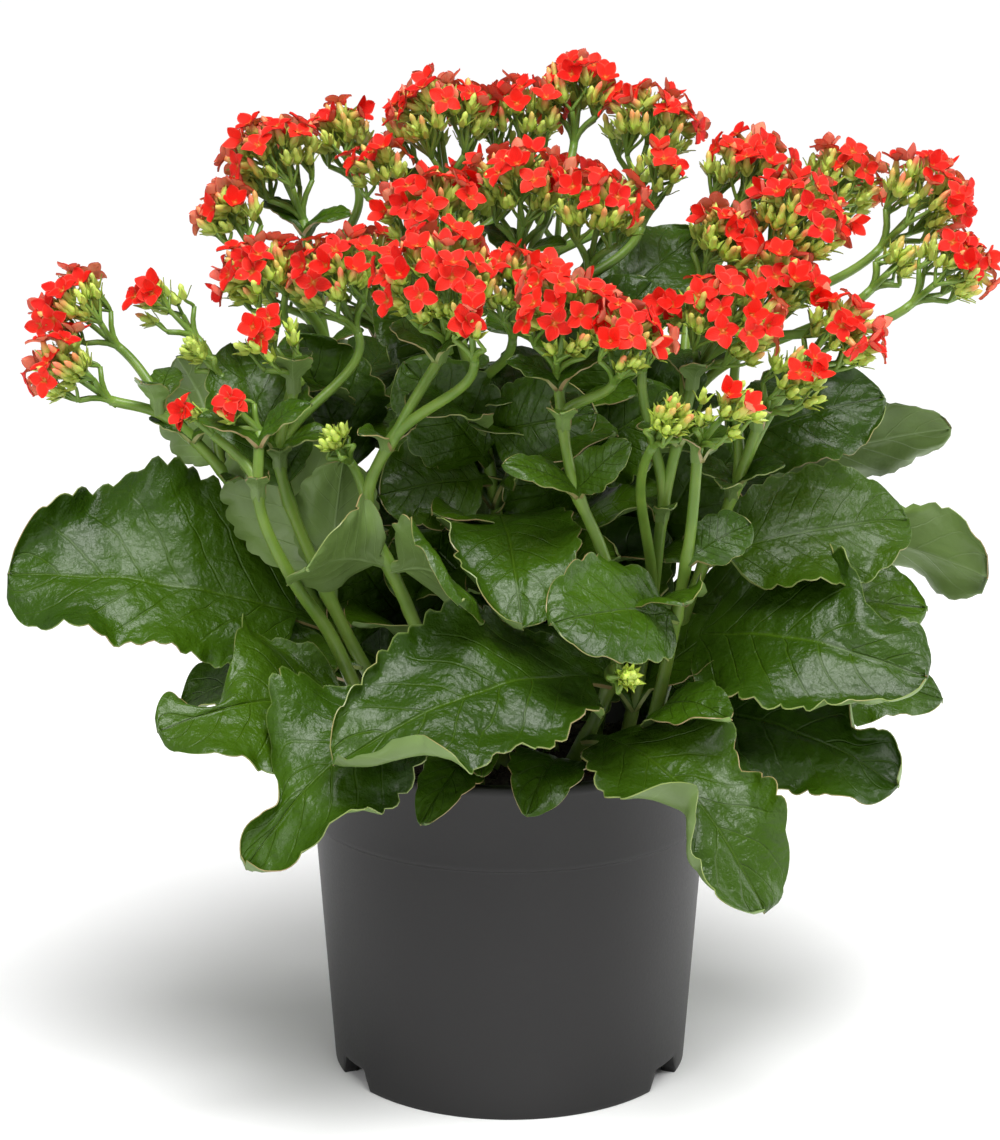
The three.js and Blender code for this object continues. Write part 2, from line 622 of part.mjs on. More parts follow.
// A dome of florets as one body: each has a raised middle and four petal tips, sunk between its
// petals, and the gap where three florets meet is sunk deeper.
function buildDome(head, seed, grow) {
  const { axis, radius, middle } = headDome(head);
  const places = floretPlaces(head, seed);
  const under = axis.clone().negate();
  const reach = new Map([[under, 1 + grow]]);
  for (const place of places) {
    const up = place.out.clone().cross(place.side).normalize();
    const side = up.clone().cross(place.out);
    reach.set(place.out, radius + grow);
    for (let i = 0; i < 8; i += 1) {
      const turn = place.spin + (i / 8) * Math.PI * 2;
      const wide = (FLORET_RADIUS * (i % 2 ? PETAL_NOTCH : 1)) / radius;
      const lean = along(along(place.out, side, Math.cos(turn) * wide), up, Math.sin(turn) * wide);
      reach.set(lean.normalize(), radius + (i % 2 ? -NOTCH_SINK : PETAL_RISE) + grow);
    }
  }
  for (const { normal } of hullFaces([...places.map((place) => place.out), under])) {
    if (normal.dot(axis) > -0.6) {
      reach.set(normal, radius - PETAL_GAP + grow);
    }
  }
  const directions = [...reach.keys()];
  const points = directions.map((direction) => along(middle, direction, reach.get(direction)));
  const faces = hullFaces(directions);
  const triangles = faces.map(({ corners }) => corners.map((corner) => directions.indexOf(corner)));
  return solidFrom(points, triangles);
}

function buildRed(head, seed, grow) {
  if (head.florets > 2) {
    return buildDome(head, seed, grow);
  }
  return wasm.Manifold.union(floretPlaces(head, seed).map((place) => buildFloret(place, grow)));
}

// Buds stand in a ring under the florets, or all over a head that is mostly in bud.
function budPlaces(head, seed) {
  const draw = seeded(seed + BUD_SEED);
  const { axis, middle } = headDome(head);
  const root = headFocus(head).lerp(middle, BUD_ROOT_SHARE);
  const open = head.florets > 2;
  const places = [];
  for (let i = 0; i < head.buds; i += 1) {
    const turn = ((i + draw() * 0.5) / head.buds) * Math.PI * 2;
    const tilt = radians(open ? 102 + 14 * draw() : 24 + 50 * draw());
    const tip = along(middle, leaning(axis, turn, tilt).out, head.size * (0.9 + 0.15 * draw()));
    places.push({ root, tip, out: tip.clone().sub(root).normalize() });
  }
  return places;
}

// A bud: a stalk that widens to a three-sided calyx and is drawn out to a point.
function buildBud({ root, tip, out }) {
  const shoulder = along(tip, out, -BUD_LENGTH);
  const side = vec(out.y, -out.x, 0.01).normalize();
  const up = out.clone().cross(side).normalize();
  const points = [root.clone(), tip.clone()];
  const triangles = [];
  for (let i = 0; i < CALYX_SIDES; i += 1) {
    const turn = (i / CALYX_SIDES) * Math.PI * 2;
    const corner = along(shoulder, side, Math.cos(turn) * CALYX_RADIUS);
    points.push(along(corner, up, Math.sin(turn) * CALYX_RADIUS));
    const here = 2 + i;
    const next = 2 + ((i + 1) % CALYX_SIDES);
    triangles.push([0, next, here], [1, here, next]);
  }
  return solidFrom(points, triangles);
}

// ---- Leaves --------------------------------------------------------------------------------
// Half width of a leaf, as a share of the greatest, from stem (0) to tip (1).
function leafOutline(leaf, share) {
  const stalk = leaf.stalk ?? STALK_SHARE;
  const width = leaf.wide / 2;
  const root = STALK_WIDTH / 2 / width;
  if (share <= stalk) {
    return root;
  }
  const u = (share - stalk) / (1 - stalk);
  return Math.max(root * (1 - u), Math.sin(Math.PI * u ** 0.9) ** (leaf.blunt ?? TIP_BLUNTNESS));
}

// What a leaf's bites and lobes leave of its half width on one edge.
function edgeShare(leaf, share, edge) {
  const near = (place, length) => Math.exp(-(((share - place) / length) ** 2));
  return (leaf.bites ?? []).filter((bite) => bite[0] === edge)
    .reduce((sum, [, place, depth, length]) => sum - depth * near(place, length), 1);
}

// The frame that a leaf is drawn in: its root, its chord, the direction across it and its normal.
function leafFrame(leaf, root, swing, lift) {
  const chord = toVec(leaf.tip).sub(root);
  const face = toVec(leaf.face).normalize();
  const turn = new THREE.Quaternion().setFromAxisAngle(vec(0, 0, 1), radians(swing));
  chord.applyQuaternion(turn);
  face.applyQuaternion(turn);
  const level = vec(-chord.y, chord.x, 0).normalize();
  const tilt = new THREE.Quaternion().setFromAxisAngle(level, -radians(lift));
  chord.applyQuaternion(tilt);
  face.applyQuaternion(tilt);
  const across = chord.clone().cross(face).normalize();
  const normal = across.clone().cross(chord).normalize();
  return { root, chord, across, normal };
}

// A point of a leaf's middle surface, "share" of the way to the tip and "side" (-1 to 1) across.
function leafPoint(leaf, frame, share, side, notch) {
  const length = frame.chord.length();
  const arch = leaf.arch ?? LEAF_ARCH;
  const wave = leaf.wave ?? LEAF_WAVE;
  const width = (leaf.wide / 2) * leafOutline(leaf, share) * edgeShare(leaf, share, Math.sign(side)) * notch;
  const rise = 4 * arch * length * share * (1 - share);
  const edge = side * side;
  const ripple = Math.sin(share * WAVE_TURNS + (side > 0 ? 0 : 2.4)) * wave * edge;
  const point = along(frame.root, frame.chord, share);
  point.addScaledVector(frame.across, side * width);
  return point.addScaledVector(frame.normal, rise + width * (LEAF_CUP * edge + ripple));
}

// Rows crowd towards the tip, where the outline rounds off. The first lies where the stalk ends.
function rowShare(i, rows, stalk, from) {
  const blade = Math.max(0, (stalk - from) / (1 - from));
  if (i === 0) {
    return 0;
  }
  const step = blade > 0 ? (i - 1) / (rows - 1) : i / rows;
  return blade + (1 - blade) * (1 - (1 - step) ** 1.5);
}

// A leaf as a closed thin solid: both faces split alike, meeting at the scalloped edge.
function buildLeaf(leaf, frame, options) {
  const { rows, columns, from, extra } = options;
  const stalk = leaf.stalk ?? STALK_SHARE;
  const points = [];
  const triangles = [];
  const grid = [];
  for (let i = 0; i <= rows; i += 1) {
    const share = from + (1 - from) * rowShare(i, rows, stalk, from);
    const lobe = share > stalk && i < rows && i % 2 === 1 ? 1 - CRENATE_DEPTH : 1;
    const half = (share < stalk ? STALK_THICKNESS : LEAF_THICKNESS) / 2 + extra;
    const last = i === rows;
    const row = [];
    for (let j = 0; j <= columns; j += 1) {
      const side = (j / columns) * 2 - 1;
      const edge = Math.abs(side) === 1;
      const notch = edge ? lobe : 1;
      const middle = leafPoint(leaf, frame, share, last ? 0 : side, notch);
      if (edge || last) {
        if (last && j > 0) {
          row.push(row[0]);
        } else {
          points.push(middle);
          row.push([points.length - 1, points.length - 1]);
        }
      } else {
        points.push(along(middle, frame.normal, half), along(middle, frame.normal, -half));
        row.push([points.length - 2, points.length - 1]);
      }
    }
    grid.push(row);
  }
  const face = (a, b, c) => {
    if (a !== b && b !== c && c !== a) {
      triangles.push([a, b, c]);
    }
  };
  for (let i = 0; i < rows; i += 1) {
    for (let j = 0; j < columns; j += 1) {
      const [a, b, c, d] = [grid[i][j], grid[i][j + 1], grid[i + 1][j + 1], grid[i + 1][j]];
      face(a[0], b[0], c[0]);
      face(a[0], c[0], d[0]);
      face(a[1], c[1], b[1]);
      face(a[1], d[1], c[1]);
    }
  }
  for (let j = 0; j < columns; j += 1) {
    const [a, b] = [grid[0][j], grid[0][j + 1]];
    face(a[0], a[1], b[1]);
    face(a[0], b[1], b[0]);
  }
  return solidFrom(points, triangles);
}

// How finely a leaf is split.
function leafDetail(leaf) {
  if (leaf.small || leaf.filler) {
    return { rows: 5, columns: 2 };
  }
  return leaf.wide >= BROAD_LEAF ? { rows: 8, columns: 4 } : { rows: 7, columns: 2 };
}

// Leaves that the plant carries up each trunk behind its front: each turned across the last.
function fillerLeaves(stem, trunk, seed) {
  const draw = seeded(seed);
  const [x, y] = stem.foot;
  const outward = Math.atan2(y, x);
  const count = y < FRONT_EDGE ? 0 : Math.max(1, FILLERS - stem.leaves.length);
  const leaves = [];
  for (let i = 0; i < count; i += 1) {
    const from = FILLER_START + i * FILLER_STEP + draw() * 14;
    const azimuth = outward + (i % 2 ? 1 : -1) * (0.2 + draw() * 0.9);
    const length = FILLER_LENGTH - i * 8 + draw() * 10;
    const climb = -0.25 + 0.25 * i + (draw() - 0.5) * 0.2;
    const way = vec(Math.cos(azimuth), Math.sin(azimuth), climb).normalize();
    const tip = along(trunkAt(trunk, from).point, way, length).toArray();
    const face = [Math.cos(outward) * 0.6, Math.sin(outward) * 0.6, 0.8];
    leaves.push({ from, tip, wide: FILLER_WIDTH - i * 4, face, filler: 1 });
  }
  return leaves;
}

// ---- Assembly ------------------------------------------------------------------------------
// A leaf is clear when it, grown by the clearance, meets nothing else. On its own stem only the
// blade past its root is looked at.
function isClear(leaf, frame, owner, obstacles) {
  const detail = { ...leafDetail(leaf), extra: LEAF_CLEARANCE / 2 };
  const whole = buildLeaf(leaf, frame, { ...detail, from: 0 });
  const blade = buildLeaf(leaf, frame, { ...detail, from: (leaf.stalk ?? STALK_SHARE) + ROOT_SHARE });
  return obstacles.every((obstacle) => (
    overlapVolume(obstacle.owner === owner ? blade : whole, obstacle.solid) < 1e-6
  ));
}

// The leaf at the first of its turns about its root where it is clear, or nothing.
function placeLeaf(leaf, trunk, owner, obstacles) {
  const root = trunkAt(trunk, leaf.from).point;
  const turns = leaf.filler ? FILLER_TURNS : LEAF_TURNS;
  for (const [swing, lift] of turns) {
    const frame = leafFrame(leaf, root, swing, lift);
    if (isClear(leaf, frame, owner, obstacles)) {
      return buildLeaf(leaf, frame, { ...leafDetail(leaf), from: 0, extra: 0 });
    }
  }
  return null;
}

function finish(color, roughness) {
  return new THREE.MeshStandardMaterial({ color, roughness, metalness: 0 });
}

const pot = buildPot();
const plants = [];
const reds = [];
let headSeed = HEAD_SEED;
for (const stem of STEMS) {
  const trunk = trunkCurve(stem);
  let green = buildStem(trunk, [TRUNK_RADIUS, NECK_RADIUS], TRUNK_SIDES, trunkStations(stem), stem.heads[0]);
  stem.heads.forEach((head, order) => {
    headSeed += 1;
    if (order > 0) {
      const branch = branchCurve(trunk, head);
      green = green.add(buildStem(branch, [BRANCH_RADIUS, NECK_RADIUS], BRANCH_SIDES, BRANCH_STATIONS, head));
    }
    green = wasm.Manifold.union([green, ...budPlaces(head, headSeed).map(buildBud)]);
    if (head.florets > 0) {
      const name = `flowers_${head.name}`;
      reds.push({ name, solid: buildRed(head, headSeed, 0), grown: buildRed(head, headSeed, FLOWER_GAP) });
    }
  });
  plants.push({ stem, trunk, green });
}

// The stems keep clear of every flower, and stand in holes in the soil.
let soil = buildSoil();
const obstacles = [{ owner: "pot", solid: pot }];
for (const plant of plants) {
  for (const { grown } of reds) {
    if (overlapVolume(plant.green, grown) > 0) {
      plant.green = plant.green.subtract(grown);
    }
  }
  plant.green = oneBody(plant.green);
  soil = soil.subtract(buildHole(plant.stem.foot));
  obstacles.push({ owner: plant.stem.name, solid: plant.green });
}
obstacles.push({ owner: "soil", solid: soil }, ...reds.map(({ name, solid }) => ({ owner: name, solid })));

// The leaves find their places, the widest first and those all round the plant last.
const drawn = plants.flatMap(({ stem, trunk }) => (
  stem.leaves.map((leaf) => ({ leaf, trunk, owner: stem.name }))
));
drawn.sort((a, b) => b.leaf.wide - a.leaf.wide);
const around = plants.flatMap(({ stem, trunk }, index) => (
  fillerLeaves(stem, trunk, FILLER_SEED + index).map((leaf) => ({ leaf, trunk, owner: stem.name }))
));
for (const { leaf, trunk, owner } of [...drawn, ...around]) {
  const solid = placeLeaf(leaf, trunk, owner, obstacles);
  if (solid) {
    obstacles.push({ owner, solid, isLeaf: true });
  }
}

const group = new THREE.Group();
group.add(meshFrom(pot, "pot", finish(0x3d3b3d, 0.62)));
group.add(meshFrom(soil, "soil", finish(0x241a14, 0.95)));
for (const { stem, green } of plants) {
  const leaves = obstacles.filter(({ owner, isLeaf }) => isLeaf && owner === stem.name);
  const leafy = oneBody(wasm.Manifold.union([green, ...leaves.map(({ solid }) => solid)]));
  group.add(meshFrom(leafy, `leafy_stem_${stem.name}`, finish(0x3d6b22, 0.4)));
}
for (const { name, solid } of reds) {
  group.add(meshFrom(solid, name, finish(0xe02a16, 0.5)));
}

export default group;
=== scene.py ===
"""Potted kalanchoe: a nursery pot, its compost, fifteen leafy stems and their heads of red flowers.

Lengths in the tables and in the mesh code are millimetres, and become metres when a mesh is made.
"""
import math
import random
import bpy
from bpy.props import FloatProperty, FloatVectorProperty, IntProperty, PointerProperty
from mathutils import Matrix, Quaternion, Vector, noise
from mathutils.kdtree import KDTree


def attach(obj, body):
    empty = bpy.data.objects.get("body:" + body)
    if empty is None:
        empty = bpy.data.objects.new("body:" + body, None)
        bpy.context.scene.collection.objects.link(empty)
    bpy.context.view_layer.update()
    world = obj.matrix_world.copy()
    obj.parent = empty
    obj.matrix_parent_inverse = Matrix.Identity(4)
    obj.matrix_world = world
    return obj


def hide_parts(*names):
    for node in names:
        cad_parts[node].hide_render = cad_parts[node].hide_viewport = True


bl_info = {
    "name": "Potted Kalanchoe",
    "version": (1, 0, 0),
    "blender": (4, 5, 0),
    "location": "View3D > Sidebar > Kalanchoe",
    "description": "Builds a flowering kalanchoe in its nursery pot, piece by piece",
    "category": "Add Mesh",
}

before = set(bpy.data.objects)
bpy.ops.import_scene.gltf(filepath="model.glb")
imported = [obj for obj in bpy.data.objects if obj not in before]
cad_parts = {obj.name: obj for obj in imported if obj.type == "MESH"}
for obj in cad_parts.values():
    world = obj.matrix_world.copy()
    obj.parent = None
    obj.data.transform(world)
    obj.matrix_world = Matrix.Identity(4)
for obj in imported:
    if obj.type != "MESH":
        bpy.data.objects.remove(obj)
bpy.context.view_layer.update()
METRES = 0.001
PER_METRE = 1000

# ---- Pot and compost -------------------------------------------------------------------------
POT_HEIGHT = 130
FOOT_RADIUS = 67.5
LEDGE_HEIGHT = 98
LEDGE_RADIUS = 74.4
BAND_RADIUS = 75.3
RIM_RADIUS = 77
POT_WALL = 1.8
FOOT_WIDTH = 6
FLOOR_HEIGHT = 9
UNDERSIDE = 7
NOTCH_HEIGHT = 8
NOTCH_ANGLES = (-30, 90, 210)
NOTCH_HALF_ANGLE = 8.5
POT_SEGMENTS = 240
SOIL_HEIGHT = 118
COMPOST_RADIUS = LEDGE_RADIUS - POT_WALL - 1.2
COMPOST_RINGS = 26
COMPOST_SEGMENTS = 110
CRUMBS = 1500
BARK_SHARE = 0.12

# ---- Stems -------------------------------------------------------------------------------------
TRUNK_RADIUS = 3.8
TRUNK_MIDDLE = 2.7
TRUNK_SIDES = 14
TRUNK_STEPS = 60
BRANCH_RADIUS = 2.1
BRANCH_SIDES = 11
BRANCH_STEPS = 24
BRANCH_BEND = 0.35
NECK_RADIUS = 1.9
STRAIGHT_START = (-17, -8, -1, 6)
HALVINGS = 24

# ---- Flower heads ------------------------------------------------------------------------------
HEAD_CENTRE_HEIGHT = 140
HEAD_UPRIGHTNESS = 0.9
DOME_RISE = 3
DOME_MARGIN = 5
DOME_ANGLE = 84
DOME_WIDTH = 1.12
DOME_HEIGHT = 0.82
GOLDEN_ANGLE = math.pi * (3 - math.sqrt(5))
# A head of this many florets or fewer is still young: its florets keep to the front of its top.
FEW_FLORETS = 2
FEW_ANGLE = 44
FLORET_DENSITY = 0.075
OPEN_SHARE = 0.6
PETAL_ROWS = 6
PETAL_THICKNESS = 0.25
FLOWER_TUBE = 7.0
# Shares and radii of the tube under an open flower, and of a closed bud.
TUBE_PROFILE = ((0, 0.9), (0.25, 1.7), (0.6, 1.4), (0.85, 1.1), (1.0, 1.0))
BUD_PROFILE = (
    (0, 0.8), (0.12, 1.45), (0.32, 1.5), (0.55, 1.0), (0.72, 1.2), (0.88, 0.85), (1.0, 0.1),
)
# A sepal's share of its reach, half width and distance from the flower's axis.
SEPAL_STATIONS = ((0, 0.9, 0.8), (0.35, 1.1, 2.0), (0.7, 0.6, 2.9), (1.0, 0.05, 3.9))
SEPAL_THICKNESS = 0.2
# Rings of buds on a blooming head, and on a cluster of closed buds: how many to each mm of its size,
# from and to which angle off its axis, how far over its dome, and from how green to how ripe.
BLOOM_RINGS = (
    (1.1, 62, 94, -1.5, 2.0, -0.1, 0.9), (0.7, 90, 108, -3.5, -0.5, -0.4, 0.2),
    (0.8, 8, 66, -1.0, 2.5, 0.3, 1.0),
)
CLUSTER_RING = (5, 78, 0.0, 2.8, -0.3, 0.8)
CLUSTER_SKIRT = (0.3, 80, 105, -2.0, 0.5, -0.4, 0.1)
BUD_CLEARANCE = 4.6
STALK_REACH = 8
STALK_GROWTH = 0.7
STALK_STEPS = 5

# ---- Leaves ------------------------------------------------------------------------------------
STALK_SHARE = 0.12
STALK_WIDTH = 5
STALK_THICKNESS = 3.4
BLADE_SKEW = 0.9
TIP_BLUNTNESS = 0.5
LEAF_THICKNESS = 1.5
LEAF_ARCH = 0.12
LEAF_CUP = 0.12
LEAF_WAVE = 0.08
WAVE_TURNS = 15
WAVE_OFFSET = 2.4
BROAD_LEAF = 54
FILLERS = 4
FILLER_START = 150
FILLER_STEP = 30
FILLER_LENGTH = 66
FILLER_WIDTH = 50
FRONT_EDGE = -26
ROW_CROWDING = 1.5
CORNER_REACH = 0.15
PAIR_START = 146
PAIR_STEP = 24
PAIR_TOP = 240
LOWEST_PAIR = 58
HIGHEST_PAIR = 38
PAIR_BREADTH = 0.56
# Relief: lengths and depths in mm, but folds, frills, rolls and the rib's width are shares of the
# half width, and the drift is a share of the length. The grids are rows and columns of a blade.
SMALL_GRID = (22, 8)
LEAF_GRID = (44, 20)
BROAD_GRID = (64, 26)
LOBE_LENGTH = 8.5
FOLD_LENGTH = 42
FOLD_DEPTH = 0.13
FRILL_DEPTH = 0.03
DRIFT = 0.045
DENT_DEPTH = 1.6
DENT_SCALE = 0.07
VEIN_PAIRS = 9
VEIN_SLANT = 0.26
RIB_WIDTH = 0.06
RIB_DEPTH = 0.9
GROOVE_DEPTH = 1.1
SLIGHT_ROLLS = 3
ROLL_START = 0.55
ROLL_WIDTH = 0.45

# ---- Seeds and marks ---------------------------------------------------------------------------
FILLER_SEED = 900
HEAD_SEED = 100
LEAF_SEED = 1000
PAIR_SEED = 50
PLAIN = (0, 0, 0)
CALYX_MARK = (2, 0, 0)

# ---- Colours that stay, and the sockets of a Mix node that carry colours ----------------------
LEAF_EDGE_COLOUR = (0.11, 0.17, 0.035)
RIM_GREEN = (0.20, 0.26, 0.07)
RIM_BROWN = (0.29, 0.21, 0.09)
PETAL_EDGE_COLOUR = (0.95, 0.15, 0.10)
PETAL_FOOT_COLOUR = (0.6, 0.10, 0.01)
THROAT_GOLD = (0.50, 0.22, 0.02)
THROAT_RED = (0.6, 0.05, 0.01)
BARK_COLOUR = (0.10, 0.035, 0.018)
FLOOR_COLOUR = (0.95, 0.95, 0.95)
MIX_FIRST, MIX_SECOND, MIX_RESULT = 6, 7, 2

# ---- Stage, in metres and degrees --------------------------------------------------------------
FLOOR_REACH = 25
WORLD_POWER = 0.3
SUN_PLACE = (0.16, -0.5, 1.1)
SUN_ANGLE = 40
SUN_POWER = 2.7
# Softboxes: name, place, aim, size and power.
SOFTBOXES = (
    ("Top softbox", (0.1, -0.45, 1.2), (0, 0, 0.2), 0.5, 6),
    ("Right softbox", (1.0, 0.1, 0.4), (0, 0, 0.12), 0.7, 5),
    ("Left softbox", (-0.7, -1.0, 0.7), (0, 0, 0.22), 0.4, 3),
)
CAMERA_PLACE = (-0.0037, -1.0, 0.423)
CAMERA_DIP = 13.06
SENSOR_HEIGHT = 36
LENS = 86.65

# The turns about its root, sideways and up in degrees, that the frame may have given a leaf.
LEAF_TURNS = (
    (0, 0), (0, 3), (0, -3), (3, 0), (-3, 0), (4, 4), (-4, 4), (4, -4), (-4, -4), (0, 7), (0, -7),
    (7, 0), (-7, 0), (8, 7), (-8, 7), (8, -7), (-8, -7), (0, 11), (0, -11), (12, 0), (-12, 0),
    (12, 10), (-12, 10), (12, -10), (-12, -10),
)
FILLER_TURNS = (
    (0, 0), (0, 8), (0, -8), (10, 0), (-10, 0), (0, 16), (0, -16), (18, 0), (-18, 0), (14, 12),
    (-14, 12), (14, -12), (-14, -12), (26, 0), (-26, 0), (0, 24), (24, 16), (-24, 16), (34, 4),
    (-34, 4),
)


def stem(name, foot, way, heads, leaves):
    """A leafy stem: where it leaves the compost, and the points it passes up to its first head."""
    return {"name": name, "foot": foot, "way": way, "heads": heads, "leaves": leaves}


def head(name, at, size, florets, buds, fork=None):
    """A flower head. All but the first of a stem branch off it at the height "fork"."""
    return {"name": name, "at": at, "size": size, "florets": florets, "buds": buds, "fork": fork}


def leaf(name, start, tip, wide, face, **shape):
    """A leaf, from the height where it leaves its stem to its tip, its upper side turned to "face".

    shape may give its arch, the size of its edge's waves, the share of its stalk, how blunt its tip
    is, and bites out of its edges: (edge, place along the leaf, depth, length).
    """
    return {"name": name, "start": start, "tip": tip, "wide": wide, "face": face, **shape}


